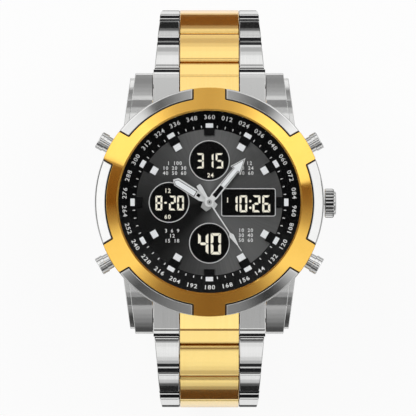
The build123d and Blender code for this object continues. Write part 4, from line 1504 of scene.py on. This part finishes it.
    def build_second(self) -> None:
        """Make the second hand: a needle with a diamond, a baton tail and the centre cap."""
        low, top = self.second_z, self.second_z + self.thickness
        needle, tail = symmetric(self.needle), symmetric(self.second_tail)
        plates = [(needle, self.thickness), (self.diamond, self.thickness + 0.02), (tail, self.thickness)]
        steel = joined([self.plate(corners, low, thick, 0.04) for corners, thick in plates])
        whole = (steel + self.hub(0.95, low, top)).at_clock(self.second_clock) + self.pipe(0.25, top)
        add_piece("second_needle", whole, SATIN_STEEL, "second", ["second_hand"])
        cap = self.hub(0.52, top - 0.01, top + 0.1)
        pin = self.hub(0.17, top + 0.09, top + 0.12)
        add_piece("second_cap", cap, HAND_GREY, "second")
        add_piece("second_pin", pin, BLACK_LACQUER, "second")

    def build(self) -> None:
        """Make all hands."""
        self.build_hour()
        self.build_minute()
        self.build_second()


# Crown and pushers


@dataclass
class Controls:
    """The fluted crown on its stem, and the four pushers."""

    axis_z: float = 4.612
    crown_radius: float = 2.95
    flute_depth: float = 0.25
    teeth: int = 24
    # How squarely the flutes are cut: the wave's factor inside the hyperbolic tangent.
    flute_square: float = 2.2
    # The fluted body's sections: places on X, and what share of the full width each has.
    crown_sections: Points = ((23.2, 0.92), (23.38, 1.0), (24.8, 1.0), (25.0, 0.955), (25.1, 0.9))
    cap_radius: float = 2.35
    cap_root_x: float = 24.9
    cap_x: float = 25.5
    cap_chamfer: Point = (0.22, 0.16)
    pusher_clocks: tuple[tuple[int, float], ...] = ((2, 60.0), (4, 120.0), (8, 240.0), (10, 300.0))
    pusher_line: Point = (0.07, 0.08)
    pusher_cap: tuple[float, float, float] = (1.8, 24.15, 25.65)
    pusher_collar: Point = (1.6, 22.95)
    pusher_stem: Point = (0.8, 17.5)

    def crown(self) -> Shape:
        """Flute the crown and set its cap.

        The radius falls by half the flutes' depth times one minus a wave, which is the cosine of the
        teeth times the angle, squared off by a hyperbolic tangent.

        Returns:
            The crown with its cap, on its axis.
        """
        angle = np.linspace(0.0, 2 * math.pi, self.teeth * 10, endpoint=False)
        wave = np.tanh(self.flute_square * np.cos(self.teeth * angle)) / math.tanh(self.flute_square)
        radius = self.crown_radius - self.flute_depth / 2 * (1 - wave)
        outline = np.stack([radius * np.cos(angle), radius * np.sin(angle)], axis=1)
        sections = self.crown_sections
        rings = [np.column_stack([outline * share, np.full(len(outline), x)]) for x, share in sections]
        valley = self.crown_radius - 0.6 * self.flute_depth

        def in_flute(middles: np.ndarray) -> np.ndarray:
            """Find the faces at the flutes' bottoms, which take the dark finish as painted shade."""
            u, v, x = middles.T
            return (np.hypot(u, v) < valley) & (x > sections[0][0] + 0.1) & (x < sections[-1][0] - 0.2)

        body = loft(np.stack(rings)).lined(in_flute)
        radius, end = self.cap_radius, self.cap_x
        corners = [
            (NEAR_AXIS, self.cap_root_x), (radius, self.cap_root_x), (radius, end - self.cap_chamfer[1]),
            (radius - self.cap_chamfer[0], end), (NEAR_AXIS, end),
        ]
        cap = lathe(rounded(corners, [0.001, 0.05, 0.12, 0.12, 0.001], 3), 96)
        return along_x(body + cap).moved(z=self.axis_z)

    def pusher(self) -> Shape:
        """Turn a pusher: cap with a line round its middle, collar and stem, along +X.

        Returns:
            The pusher on its axis.
        """
        radius, inner, outer = self.pusher_cap
        collar, collar_x = self.pusher_collar
        stem, stem_x = self.pusher_stem
        middle = (inner + outer) / 2
        half, depth = self.pusher_line
        corners = [
            (NEAR_AXIS, stem_x), (stem, stem_x), (stem, collar_x), (collar, collar_x), (collar, inner),
            (radius, inner), (radius, middle - half), (radius - depth, middle), (radius, middle + half),
            (radius, outer), (NEAR_AXIS, outer),
        ]
        soft = [0.001, 0.03, 0.03, 0.08, 0.03, 0.1, 0.01, 0.01, 0.01, 0.2, 0.001]
        return along_x(lathe(rounded(corners, soft, 3), 72)).moved(z=self.axis_z)

    def build(self, nodes: Nodes) -> None:
        """Make the controls.

        Args:
            nodes: All CAD nodes.
        """
        add_piece("crown_fluted", self.crown(), POLISHED_STEEL, "winding_crown", ["crown"], STEEL_JOINTS_AND_PAINTED_SHADE)
        dress(nodes, ["stem", "setting_lever"], POLISHED_STEEL)
        for number, clock in self.pusher_clocks:
            name, shape = f"pusher_{number}", self.pusher().on_radius(clock)
            add_piece(f"{name}_turned", shape, POLISHED_STEEL, f"push_{number}", [name])


# Bracelet


class Half(Enum):
    """The two halves of the bracelet, named by where they meet the case."""

    TWELVE = "12"
    SIX = "6"


@dataclass
class Bracelet:
    """End links and twelve links with gold centres and steel sides."""

    first_pin: Point = (27.0, 4.0)
    pitch: float = 10.0
    slopes: tuple[float, ...] = (50.0, 62.0, 82.0, 106.0, 132.0, 158.0)
    half_widths: tuple[float, ...] = (11.05, 10.5, 10.1, 9.75, 9.5, 9.2, 9.0)
    centre_half: float = 6.05
    half_thick: float = 1.3
    setback: float = 1.55
    steel_crown: float = 0.22
    gold_crown: float = 0.14
    dip: float = 0.14
    # The line cut across each steel side, its faces painted near black as painted shade: where it starts
    # along the link, its width, its depth, the run of its two slopes, and how much lower its far edge lies.
    line_s: float = 6.5
    line_width: float = 1.05
    line_depth: float = 0.1
    line_slope: float = 0.12
    line_fall: float = 0.06
    soft: float = 0.24
    # How far the gold stands clear of the steel beside it.
    centre_gap: float = 0.07
    pin_overlap: float = 0.3
    steel_rise: float = 3.8
    gold_rise: float = 8.0
    case_clear: float = 22.42
    end_top_z: float = 7.5
    end_bottom_z: float = 1.9
    end_crease_y: float = 25.6
    end_side_x: float = 11.23
    end_root_y: float = 17.5
    end_bevel: float = 0.14
    # The outer end of the end link's steel, in (s, n) from the first pin: a shallow groove, painted dark as
    # shade.
    end_groove: Points = ((-2.56, 1.24), (-2.46, 1.12), (-1.85, 1.14), (-1.75, 1.285))
    groove_y: float = 23.6
    groove_z: float = 3.6
    groove_half: float = 0.81
    bar_web: float = 0.6
    pin_radius: float = 0.48
    clasp_bar: Point = (0.55, 7.2)

    def pins(self) -> list[Point]:
        """Give the pins' centres in Y and Z: each lies a pitch from the last, down its link's slope."""
        angle = np.radians(self.slopes)
        y = self.first_pin[0] + np.concatenate([[0.0], np.cumsum(self.pitch * np.cos(angle))])
        z = self.first_pin[1] - np.concatenate([[0.0], np.cumsum(self.pitch * np.sin(angle))])
        return list(zip(y.tolist(), z.tolist()))

    def placed(self, shape: Shape, index: int) -> Shape:
        """Move a link from its own frame, (x, along, out), to its place on the 12 o'clock side.

        Args:
            shape: The link's shape.
            index: Its number from the case, from 0.

        Returns:
            The placed shape.
        """
        y, z = self.pins()[index]
        angle = math.radians(self.slopes[index])
        cos, sin = math.cos(angle), math.sin(angle)
        turn = np.array([[1.0, 0.0, 0.0], [0.0, cos, -sin], [0.0, sin, cos]])
        return Shape(shape.points @ turn + np.array([0.0, y, z]), shape.faces, shape.inner)

    def knuckle(self, s: float, facing: int, count: int = 9) -> list[Point]:
        """Give the half circle of a link's end about a pin, from its upper to its lower face."""
        turn = np.linspace(math.pi / 2, -math.pi / 2, count)
        radius = self.half_thick
        return [(s + facing * radius * math.cos(a), radius * math.sin(a)) for a in turn.tolist()]

    def crowned(self, start: float, end: float, crown: float, count: int = 7) -> list[Point]:
        """Give a link's upper face from its pin to its free end.

        With the share t of its length, it rises by the crown times 4t(1 - t) and dips by t squared.
        """
        share = np.linspace(0.0, 1.0, count)[1:]
        rise = self.half_thick + crown * 4 * share * (1 - share) - self.dip * share**2
        return list(zip((start + (end - start) * share).tolist(), rise.tolist()))

    def side(self, index: int) -> Shape:
        """Make a link's two steel sides with the pin between them, in the link's own frame.

        The sides are a bevelled prism whose width narrows with s from one band half width to the next.

        Args:
            index: The link's number from the case, from 0.

        Returns:
            Both sides and their pin.
        """
        end = self.pitch - self.setback
        near, far = self.half_widths[index], self.half_widths[index + 1]
        root = self.knuckle(0.0, -1)
        top = self.crowned(0.0, end, self.steel_crown)
        s, far_s, slope, fall = self.line_s, self.line_s + self.line_width, self.line_slope, self.line_fall
        rise = float(np.interp(s, [point[0] for point in top], [point[1] for point in top]))
        bottom = rise - self.line_depth
        line = [(s, rise), (s + slope, bottom), (far_s - slope, bottom - fall), (far_s, rise - fall)]
        outline = [*top[:4], *line, top[5], (end, -self.half_thick), *root[::-1]]
        soft = [0.3] * 4 + [0.02] * 4 + [0.4, 0.3] + [0.2] * len(root)
        plan = rounded(outline, soft, 4)
        bar = along_x(prism(plan, self.centre_half + 0.02, near, self.soft))

        def narrow(points: np.ndarray) -> np.ndarray:
            """Scale the width over the centre by its share at each s."""
            share = np.clip((points[:, 1] + self.half_thick) / (end + self.half_thick), 0.0, 1.0)
            width = (near + (far - near) * share - self.centre_half) / (near - self.centre_half)
            x = self.centre_half + (points[:, 0] - self.centre_half) * width
            return np.column_stack([x, points[:, 1], points[:, 2]])

        def joint_faces_and_painted_shade(middles: np.ndarray) -> np.ndarray:
            """Find the faces for the dark finish: beside the centre and low on both ends, joint faces that
            run onto the rims in view as painted shade, and the cut line, painted shade.
            """
            x, s, n = middles.T
            # Painted shade: the dark finish runs up the rounded ends to 0.95 of the half thickness, onto
            # rims in view.
            low = (n < 0.95) & (n > -1.1) & ((s < 0.2) | (s > end - 0.3))
            line = (n > 0) & (s > self.line_s + 0.01) & (s < far_s - 0.01)
            return (x < self.centre_half + 0.08) | low | line

        reach = self.centre_half + self.pin_overlap
        pin = along_x(prism(circle(self.pin_radius, 20), -reach, reach))
        return bar.lined(joint_faces_and_painted_shade).mapped(narrow).both_sides(0) + pin

    def centre(self) -> Shape:
        """Make a link's gold centre, with the knuckle for the next pin, in the link's own frame.

        Returns:
            The centre.
        """
        start = self.setback
        knuckle = self.knuckle(self.pitch, 1)
        top = self.crowned(self.pitch, start, self.gold_crown)[::-1]
        outline = [(start, -self.half_thick), *top, *knuckle]
        soft = [0.35, 1.3] + [0.3] * 5 + [0.2] * len(knuckle)
        half = self.centre_half - self.centre_gap

        def joint_faces_and_painted_shade(middles: np.ndarray) -> np.ndarray:
            """Find the faces for the dark finish: beside the sides and low on both ends, inside the joints
            and, near their rims, painted shade.
            """
            x, s, n = middles.T
            low = (n < 0.55) & (n > -1.1) & ((s < start + 0.2) | (s > self.pitch + 0.3))
            return (np.abs(x) > half - 0.05) | low

        return along_x(prism(rounded(outline, soft, 4), -half, half, 0.16)).lined(joint_faces_and_painted_shade)

    def end_outline(self, end: list[Point], lean: float) -> list[Point]:
        """Give an end link's side outline in Y and Z.

        Args:
            end: Its outer end in (s, n) from the first pin.
            lean: How many degrees its top rises towards the case.

        Returns:
            The outline, from the top of its root round its outer end to its underside.
        """
        angle = math.radians(self.slopes[0])
        cos, sin = math.cos(angle), math.sin(angle)
        y0, z0 = self.first_pin
        tip = [(y0 + s * cos + n * sin, z0 - s * sin + n * cos) for s, n in end]
        bottom, top = self.end_bottom_z, self.groove_z + self.groove_half
        near, far = self.groove_y - self.groove_half, self.groove_y + self.groove_half
        rear = [
            (far + self.bar_web, bottom), (far, bottom), (far, top), (near, top), (near, bottom),
            (self.end_root_y, bottom),
        ]
        rise = (self.end_crease_y - self.end_root_y) * math.tan(math.radians(lean))
        return [(self.end_root_y, self.end_top_z + rise), (self.end_crease_y, self.end_top_z), *tip, *rear]

    def end_piece(
        self, end: list[Point], lean: float, low: float, high: float, soft_ends: list[float]
    ) -> Shape:
        """Carry an end link's outline across X, its rear kept clear of the round case.

        At each x no point comes nearer to the centre line than the case's clearance: y is at least
        the root of the clearance squared less x squared. No point then stands above the leaning top.

        Args:
            end: The outer end in (s, n) from the first pin.
            lean: How many degrees its top rises towards the case.
            low: Where it starts on X.
            high: Where it ends.
            soft_ends: The rounding of each corner of the outer end.

        Returns:
            The end piece on the 12 o'clock side.
        """
        soft = [0.1, 0.35, *soft_ends, 0.2, 0.05, 0.05, 0.05, 0.05, 0.05]
        outline = rounded(self.end_outline(end, lean), soft, 3)
        bevel, quarter = self.end_bevel, np.linspace(0.0, math.pi / 2, 4)
        draw_in = bevel * (1 - np.sin(quarter))
        rise = bevel * (1 - np.cos(quarter))
        between = np.linspace(low + bevel, high - bevel, 18)[1:-1]
        stations = np.concatenate([low + rise, between, (high - rise)[::-1]])
        amounts = np.concatenate([draw_in, 0 * between, draw_in[::-1]])
        rings = []
        for x, amount in zip(stations, amounts):
            ring = inset(outline, amount) if amount > 1e-9 else outline.copy()
            ring[:, 0] = np.maximum(ring[:, 0], math.sqrt(self.case_clear**2 - x**2))
            top = self.end_top_z - amount + (self.end_crease_y - ring[:, 0]) * math.tan(math.radians(lean))
            ring[:, 1] = np.minimum(ring[:, 1], top)
            rings.append(np.column_stack([np.full(len(ring), x), ring]))
        return loft(np.stack(rings))

    def build_ends(self) -> None:
        """Make both end links."""
        y0, z0 = self.first_pin

        def side_joint_faces_and_painted_shade(middles: np.ndarray) -> np.ndarray:
            """Find a side's faces next to the centre, next to the lug and in the first joint, and the groove
            on its top, painted dark as shade.
            """
            x, y, z = middles.T
            # Painted shade: the groove on the top by the first joint takes the dark finish.
            line = (y > y0 - 0.8) & (y < y0 - 0.15) & (z > z0 + 1.5)
            low = (y > y0 - 1.2) & (z < z0 + 1.5)
            return (x < self.centre_half + 0.06) | (x > self.end_side_x - 0.02) | low | line

        def hidden_centre(middles: np.ndarray) -> np.ndarray:
            """Find the centre's faces next to the sides and low in the first joint."""
            x, y, z = middles.T
            return (np.abs(x) > self.centre_half - 0.12) | ((y > y0 + 0.4) & (z < z0 + 0.1))

        square = [*self.end_groove, (-self.setback, self.half_thick), (-self.setback, -self.half_thick)]
        soft_ends = [0.02] * len(self.end_groove) + [0.1, 0.2]
        side = self.end_piece(square, self.steel_rise, self.centre_half, self.end_side_x, soft_ends)
        sides = side.lined(side_joint_faces_and_painted_shade).both_sides(0).both_sides(1)
        add_piece("end_link_steel", sides, BRUSHED_STEEL, "case", ["end_link_sides"], STEEL_JOINTS_AND_PAINTED_SHADE)
        knuckle = self.knuckle(0.0, 1)
        half = self.centre_half - self.centre_gap
        gold = self.end_piece(knuckle, self.gold_rise, -half, half, [0.2] * len(knuckle))
        centres = gold.lined(hidden_centre).both_sides(1)
        add_piece("end_link_gold", centres, BRUSHED_GOLD, "case", ["end_link_centres"], GOLD_JOINTS_AND_PAINTED_SHADE)

    def build_links(self, half: Half) -> None:
        """Make one half's links.

        Args:
            half: Which half.
        """
        for index in range(len(self.slopes)):
            number = f"{half.value}_{index + 1}"
            sides, centre = self.placed(self.side(index), index), self.placed(self.centre(), index)
            if half is Half.TWELVE and index == len(self.slopes) - 1:
                y, z = self.pins()[-1]
                radius, reach = self.clasp_bar
                centre += along_x(prism(circle(radius, 28), -reach, reach, 0.06, 2)).moved(y=y, z=z)
            if half is Half.SIX:
                sides, centre = sides.mirrored(1), centre.mirrored(1)
            body = f"band_{number}"
            add_piece(f"{body}_steel", sides, BRUSHED_STEEL, body, [f"link_{number}_sides"], STEEL_JOINTS_AND_PAINTED_SHADE)
            add_piece(f"{body}_gold", centre, BRUSHED_GOLD, body, [f"link_{number}_centre"], GOLD_JOINTS_AND_PAINTED_SHADE)

    def build(self) -> None:
        """Make the whole bracelet."""
        self.build_ends()
        self.build_links(Half.TWELVE)
        self.build_links(Half.SIX)


@dataclass
class Clasp:
    """The folding clasp: cover, blades and release buttons."""

    pin_y: float = 20.795
    pin_z: float = -43.183
    half_width: float = 9.0
    wall: float = 1.1
    bottom_z: float = -45.683
    floor: float = 0.9
    cheek_reach: float = 0.6
    cheek_inner: float = 6.13
    cheek_tail: float = 0.7
    fold_y: float = 17.295
    floor_short: float = 1.3
    ear: Point = (3.55, 5.35)
    barrel: float = 0.8
    wall_rise: float = 0.9
    half_thick: float = 1.3
    button_y: float = 2.0
    button_half: Point = (2.5, 0.7)
    button_x: Point = (8.05, 9.95)
    button_clear: float = 0.06
    window_overlap: float = 0.3
    last_pin_radius: float = 0.48
    fold_pin_radius: float = 0.4
    pin_overlap: float = 0.3

    def slab(self, x: Point, y: Point, z: Point, soft: float) -> Shape:
        """Cut a plate with rounded upright corners and bevelled faces."""
        return prism(rounded(box_corners(x, y), soft * 1.6, 3), z[0], z[1], soft)

    def side_bar(self, outline: Sequence[Sequence[float]], low: float, high: float, corner: float) -> Shape:
        """Cut a bar across X from an outline in Y and Z, on both sides."""
        return along_x(prism(rounded(outline, corner, 3), low, high, 0.12)).both_sides(0)

    def arch(self, y: float, radius: float) -> list[Point]:
        """Give a half circle over the pins' height in Y and Z, from its far side to its near one."""
        turn = np.linspace(0.0, math.pi, 13)
        return [(y + radius * math.cos(a), self.pin_z + radius * math.sin(a)) for a in turn.tolist()]

    def pin(self, y: float, radius: float, half: float) -> Shape:
        """Lay a pin along X at the pins' height, running a little into what holds it."""
        reach = half + self.pin_overlap
        return along_x(prism(circle(radius, 20), -reach, reach)).moved(y=y, z=self.pin_z)

    def cover(self) -> Shape:
        """Make the cover: floor, side walls with a window for each button, cheeks and ears.

        Returns:
            The cover.
        """
        top, bottom, back = self.pin_z + self.wall_rise, self.bottom_z, -self.pin_y
        plate, width, ear_half = (bottom, bottom + self.floor), self.half_width, self.ear[1]
        length = (back - self.cheek_reach, self.fold_y - self.floor_short)
        floor = self.slab((-width, width), length, plate, 0.2)
        tongue = self.slab((-ear_half, ear_half), (0.0, self.fold_y + self.barrel), plate, 0.18)
        reach, up = self.button_half[0] + self.button_clear, self.button_half[1] + self.button_clear
        y0, y1 = self.button_y - reach, self.button_y + reach
        window = (y0 - self.window_overlap, y1 + self.window_overlap)
        foot, mid = bottom + 0.1, self.pin_z
        parts = [
            (box_corners((back, y0), (foot, top)), 0.1),
            (box_corners((y1, self.pin_y - self.cheek_reach), (foot, top)), 0.1),
            (box_corners(window, (foot, mid - up)), 0.05),
            (box_corners(window, (mid + up, top)), 0.05),
        ]
        low, high = width - self.wall, width - 0.01
        walls = joined([self.side_bar(outline, low, high, corner) for outline, corner in parts])
        arch = self.arch(back, self.half_thick)
        arch[-1] = (back - self.cheek_reach - self.cheek_tail, mid)
        cheek = [(back + self.half_thick, bottom + 0.05), *arch, (back - self.cheek_reach, bottom + 0.05)]
        cheeks = self.side_bar(cheek, self.cheek_inner, width, 0.15)
        near, far = self.fold_y - self.barrel, self.fold_y + self.barrel
        ear = [(far, foot), *self.arch(self.fold_y, self.barrel), (near, foot)]
        ears = self.side_bar(ear, *self.ear, 0.1)
        last_pin = self.pin(back, self.last_pin_radius, self.cheek_inner)
        pins = last_pin + self.pin(self.fold_y, self.fold_pin_radius, self.ear[0])
        return joined([floor, tongue, walls, cheeks, ears, pins])

    def button(self, side: int) -> Shape:
        """Make one release button with a rounded outer face.

        Args:
            side: 1 for the right side, -1 for the left.

        Returns:
            The button.
        """
        (reach, up), y, z = self.button_half, self.button_y, self.pin_z
        corners = box_corners((y - reach, y + reach), (z - up, z + up))
        shape = along_x(prism(rounded(corners, 0.4, 4), *self.button_x, 0.25))
        return shape if side > 0 else shape.mirrored(0)

    def build(self, nodes: Nodes) -> None:
        """Make the clasp.

        Args:
            nodes: All CAD nodes.
        """
        add_piece("clasp_shell", self.cover(), BRUSHED_STEEL, "clasp_outer", ["clasp_cover"])
        dress(nodes, ["clasp_middle_blade", "clasp_inner_blade"], BRUSHED_STEEL)
        add_piece("button_right", self.button(1), POLISHED_STEEL, "release_right", ["clasp_button_right"])
        add_piece("button_left", self.button(-1), POLISHED_STEEL, "release_left", ["clasp_button_left"])


# Studio


@dataclass(frozen=True)
class CardRing:
    """A ring of light and dark cards round the watch.

    Args:
        reach: Angles from straight up where it starts, is full, is still full, and ends.
        cards: Pairs of a clock angle, from -180 at 6 o'clock through 0 at 12, and a brightness.
    """

    reach: tuple[float, float, float, float]
    cards: Points


# The cards' angles and brightness were set one by one, like real cards, until each face shone as it should.
# The inserts, which lean out by 11 degrees, show this ring.
INSERT_CARDS = CardRing(
    (19.3, 20.3, 29.0, 31.0),
    (
        (-180.0, 1.0), (-173.5, 1.0), (-173.0, 0.27), (-160.0, 0.24), (-146.0, 0.14), (-136.0, 0.08),
        (-128.0, 0.25), (-118.0, 1.0), (-110.0, 1.25), (-68.0, 1.25), (-36.0, 0.98), (-33.0, 0.8),
        (-28.0, 0.12), (-24.0, 0.1), (-10.0, 0.42), (-7.0, 0.42), (-6.5, 0.75), (6.5, 0.75), (7.0, 0.45),
        (14.0, 0.32), (26.0, 0.1), (31.0, 0.22), (37.0, 0.75), (45.0, 1.15), (112.0, 1.2), (125.0, 0.7),
        (137.0, 0.13), (144.0, 0.02), (150.0, 0.08), (160.0, 0.24), (173.0, 0.28), (180.0, 1.0),
    ),
)
# The gold ring, which leans out by 19 degrees, shows this one.
GOLD_CARDS = CardRing(
    (30.0, 32.0, 46.0, 52.0),
    (
        (-180.0, 0.1), (-160.0, 0.15), (-148.0, 0.24), (-138.0, 0.58), (-127.0, 1.12), (-107.0, 1.02),
        (-97.0, 0.3), (-87.0, 0.02), (-67.0, 0.06), (-64.0, 0.06), (-63.0, 1.4), (-38.0, 1.45),
        (-28.0, 1.0), (-19.0, 0.62), (0.0, 0.5), (12.0, 0.58), (20.0, 0.78), (29.0, 1.25), (38.0, 1.5),
        (74.5, 1.3), (75.5, 0.02), (87.0, 0.14), (97.0, 0.42), (106.0, 0.95), (127.0, 1.1), (138.0, 0.68),
        (149.0, 0.26), (160.0, 0.14), (180.0, 0.1),
    ),
)
# The steep ends of the lugs show this one: light on the 12 o'clock side and dark on the others.
LUG_CARDS = CardRing(
    (49.0, 53.0, 66.0, 70.0),
    ((-180.0, 0.06), (-70.0, 0.06), (-45.0, 1.05), (45.0, 1.05), (70.0, 0.06), (180.0, 0.06)),
)


@dataclass
class Studio:
    """Floor, surroundings, lamps and the camera."""

    floor_z: float = -45.73
    floor_half: float = 4000.0
    distance: float = 1400.0
    frame_width: float = 83.5
    sensor: float = 36.0
    tilt_degrees: float = 2.3
    centre_pixel: Point = (209.4, 202.2)
    aim_z: float = 9.5
    # Brightness of the surroundings by the angle from straight up, in degrees.
    up_down: Points = (
        (0.0, 0.05), (3.8, 0.07), (5.2, 0.46), (11.5, 0.58), (13.2, 1.1), (50.0, 1.0), (55.0, 0.9),
        (58.0, 0.06), (66.0, 0.06), (70.0, 0.2), (80.0, 0.4), (87.0, 0.5), (89.0, 0.95), (180.0, 0.95),
    )
    card_rings: tuple[CardRing, ...] = (INSERT_CARDS, GOLD_CARDS, LUG_CARDS)
    # The glow that the metal sees on the floor by the distance from the watch's axis: the watch's own
    # shadow, and a black card that lies round it beyond the picture's edge. The bend is the distance
    # that lies halfway along the ramp.
    floor_bend: float = 150.0
    floor_glow: Points = (
        (0.0, 0.45), (38.0, 0.5), (50.0, 0.9), (68.0, 0.9), (71.5, 0.5), (74.5, 0.02), (98.0, 0.02),
        (102.0, 0.3), (108.0, 0.5), (116.0, 0.78), (130.0, 0.95), (150.0, 0.92), (160.0, 0.5), (200.0, 0.5),
        (250.0, 0.9), (400.0, 1.03), (4000.0, 1.03),
    )
    # How much of the floor's brightness is paint that takes a shadow, and how much is its own glow.
    paint: float = 0.9
    glow: float = 0.9
    # Each lamp: its name, its place, and its watts.
    lamps: tuple[tuple[str, tuple[float, float, float], float], ...] = (
        ("lamp_left", (-420.0, 380.0, 760.0), 2.3),
        ("lamp_right", (420.0, 300.0, 740.0), 1.4),
    )
    lamp_width: float = 420.0
    clip: Point = (0.05, 20.0)

    def add_floor(self) -> None:
        """Lay the pale floor: it shows white to the camera and keeps a soft shadow.

        Reflections see its glow by distance, read on a ramp at the distance over itself plus the bend.
        """
        reach, z = (-self.floor_half, self.floor_half), self.floor_z
        mesh = bpy.data.meshes.new("studio_floor")
        corners = [(x * METRES, y * METRES, z * METRES) for x, y in box_corners(reach, reach)]
        mesh.from_pydata(corners, [], [(0, 1, 2, 3)])
        material = bpy.data.materials.new("studio_paper")
        material.use_nodes = True
        tree = material.node_tree
        tree.nodes.clear()
        rays = add_node(tree, "ShaderNodeLightPath").outputs
        where = add_node(tree, "ShaderNodeTexCoord").outputs["Object"]
        distance = axis_distance(tree, where)
        add, divide = {"operation": "ADD"}, {"operation": "DIVIDE"}
        farther = add_node(tree, "ShaderNodeMath", add | {1: self.floor_bend * METRES}, {0: distance})
        share = add_node(tree, "ShaderNodeMath", divide, {0: distance, 1: farther.outputs[0]})
        rings = add_node(tree, "ShaderNodeValToRGB", {}, {0: share.outputs[0]})
        set_greys(rings, [(radius / (radius + self.floor_bend), value) for radius, value in self.floor_glow])
        white = {"data_type": "RGBA", 6: linear("#FFFFFF")}
        tint = add_node(tree, "ShaderNodeMix", white, {0: rays["Is Glossy Ray"], 7: rings.outputs[0]})
        dimmed = {"operation": "SCALE", "Scale": self.paint}
        pale = add_node(tree, "ShaderNodeVectorMath", dimmed, {0: tint.outputs[2]})
        paper = add_node(tree, "ShaderNodeBsdfDiffuse", {}, {0: pale.outputs[0]})
        shine = add_node(tree, "ShaderNodeEmission", {"Strength": 1.0}, {0: tint.outputs[2]})
        seen = add_node(tree, "ShaderNodeMath", add, {0: rays["Is Camera Ray"], 1: rays["Is Glossy Ray"]})
        seen = add_node(tree, "ShaderNodeMath", add, {0: seen.outputs[0], 1: rays["Is Transmission Ray"]})
        clamped = {"operation": "MULTIPLY", 1: self.glow, "use_clamp": True}
        part = add_node(tree, "ShaderNodeMath", clamped, {0: seen.outputs[0]})
        links = {0: part.outputs[0], 1: paper.outputs[0], 2: shine.outputs[0]}
        mixed = add_node(tree, "ShaderNodeMixShader", {}, links)
        add_node(tree, "ShaderNodeOutputMaterial", {}, {"Surface": mixed.outputs[0]})
        mesh.materials.append(material)
        floor = bpy.data.objects.new("studio_floor", mesh)
        bpy.context.scene.collection.objects.link(floor)

    def add_surroundings(self) -> None:
        """Paint the world: one ramp by the angle from straight up, and rings of light and dark cards."""
        world = bpy.data.worlds.new("studio_cards")
        bpy.context.scene.world = world
        world.use_nodes = True
        tree = world.node_tree
        tree.nodes.clear()
        where = add_node(tree, "ShaderNodeTexCoord").outputs["Generated"]
        parts = add_node(tree, "ShaderNodeSeparateXYZ", {}, {0: where})
        lean = add_node(tree, "ShaderNodeMath", {"operation": "ARCCOSINE"}, {0: parts.outputs[2]})
        lean = add_node(tree, "ShaderNodeMath", {"operation": "DIVIDE", 1: math.pi}, {0: lean.outputs[0]})
        heights = add_node(tree, "ShaderNodeValToRGB", {}, {0: lean.outputs[0]})
        set_greys(heights, [(angle / 180, value) for angle, value in self.up_down])
        light = heights.outputs[0]
        for ring in self.card_rings:
            band = add_node(tree, "ShaderNodeValToRGB", {}, {0: lean.outputs[0]})
            set_greys(band, [(angle / 180, value) for angle, value in zip(ring.reach, (0.0, 1.0, 1.0, 0.0))])
            links = {0: band.outputs[0], 6: light, 7: greys_by_clock(tree, where, ring.cards)}
            light = add_node(tree, "ShaderNodeMix", {"data_type": "RGBA"}, links).outputs[2]
        background = add_node(tree, "ShaderNodeBackground", {"Strength": 1.0}, {0: light})
        add_node(tree, "ShaderNodeOutputWorld", {}, {"Surface": background.outputs[0]})

    def add_lamps(self) -> None:
        """Hang the soft square lamps, which face the watch; the metal shows the cards and not the lamps."""
        for name, place, watts in self.lamps:
            lamp = bpy.data.lights.new(name, "AREA")
            lamp.shape = "SQUARE"
            lamp.size = self.lamp_width * METRES
            lamp.energy = watts
            holder = bpy.data.objects.new(name, lamp)
            holder.location = Vector(place) * METRES
            holder.rotation_euler = (-holder.location).to_track_quat("-Z", "Y").to_euler()
            holder.visible_glossy = False
            bpy.context.scene.collection.objects.link(holder)

    def add_camera(self) -> None:
        """Set the camera: nearly straight above, tipped towards 6 o'clock.

        It aims beside the hands' centre by the pixels that the centre lies off the picture's middle.
        """
        tilt = math.radians(self.tilt_degrees)
        back = np.array([0.0, -math.sin(tilt), math.cos(tilt)])
        up = np.array([0.0, math.cos(tilt), math.sin(tilt)])
        pixel = self.frame_width / PICTURE_PIXELS
        right_off = (self.centre_pixel[0] - PICTURE_PIXELS / 2) * pixel
        up_off = (PICTURE_PIXELS / 2 - self.centre_pixel[1]) * pixel
        aim = np.array([0.0, 0.0, self.aim_z]) - up * up_off - np.array([1.0, 0.0, 0.0]) * right_off
        lens = bpy.data.cameras.new("camera")
        lens.sensor_width = self.sensor
        lens.lens = self.sensor * self.distance / self.frame_width
        lens.clip_start, lens.clip_end = self.clip
        camera = bpy.data.objects.new("camera", lens)
        camera.location = Vector((aim + back * self.distance) * METRES)
        camera.rotation_euler = (tilt, 0.0, 0.0)
        bpy.context.scene.collection.objects.link(camera)
        bpy.context.scene.camera = camera

    def build(self) -> None:
        """Set up the studio."""
        self.add_floor()
        self.add_surroundings()
        self.add_lamps()
        self.add_camera()
        bpy.context.scene.view_settings.view_transform = "Standard"


def main() -> None:
    """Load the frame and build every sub-assembly round it."""
    logging.basicConfig(level=logging.INFO, format="%(name)s: %(message)s")
    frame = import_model()
    nodes = frame["nodes"]
    Case().build()
    Bezel().build()
    Dial(Digits()).build(nodes)
    Hands().build()
    Controls().build(nodes)
    Bracelet().build()
    Clasp().build(nodes)
    dress(nodes, ["movement_holder"], MODULE_PLASTIC)
    dress(nodes, ["digital_module"], BOARD_RESIN)
    dress(nodes, ["analog_movement", "contact_springs"], SPRING_BRASS)
    dress(nodes, ["coin_cells"], TURNED_STEEL)
    Studio().build()
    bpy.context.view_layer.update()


if __name__ == "__main__":
    main()
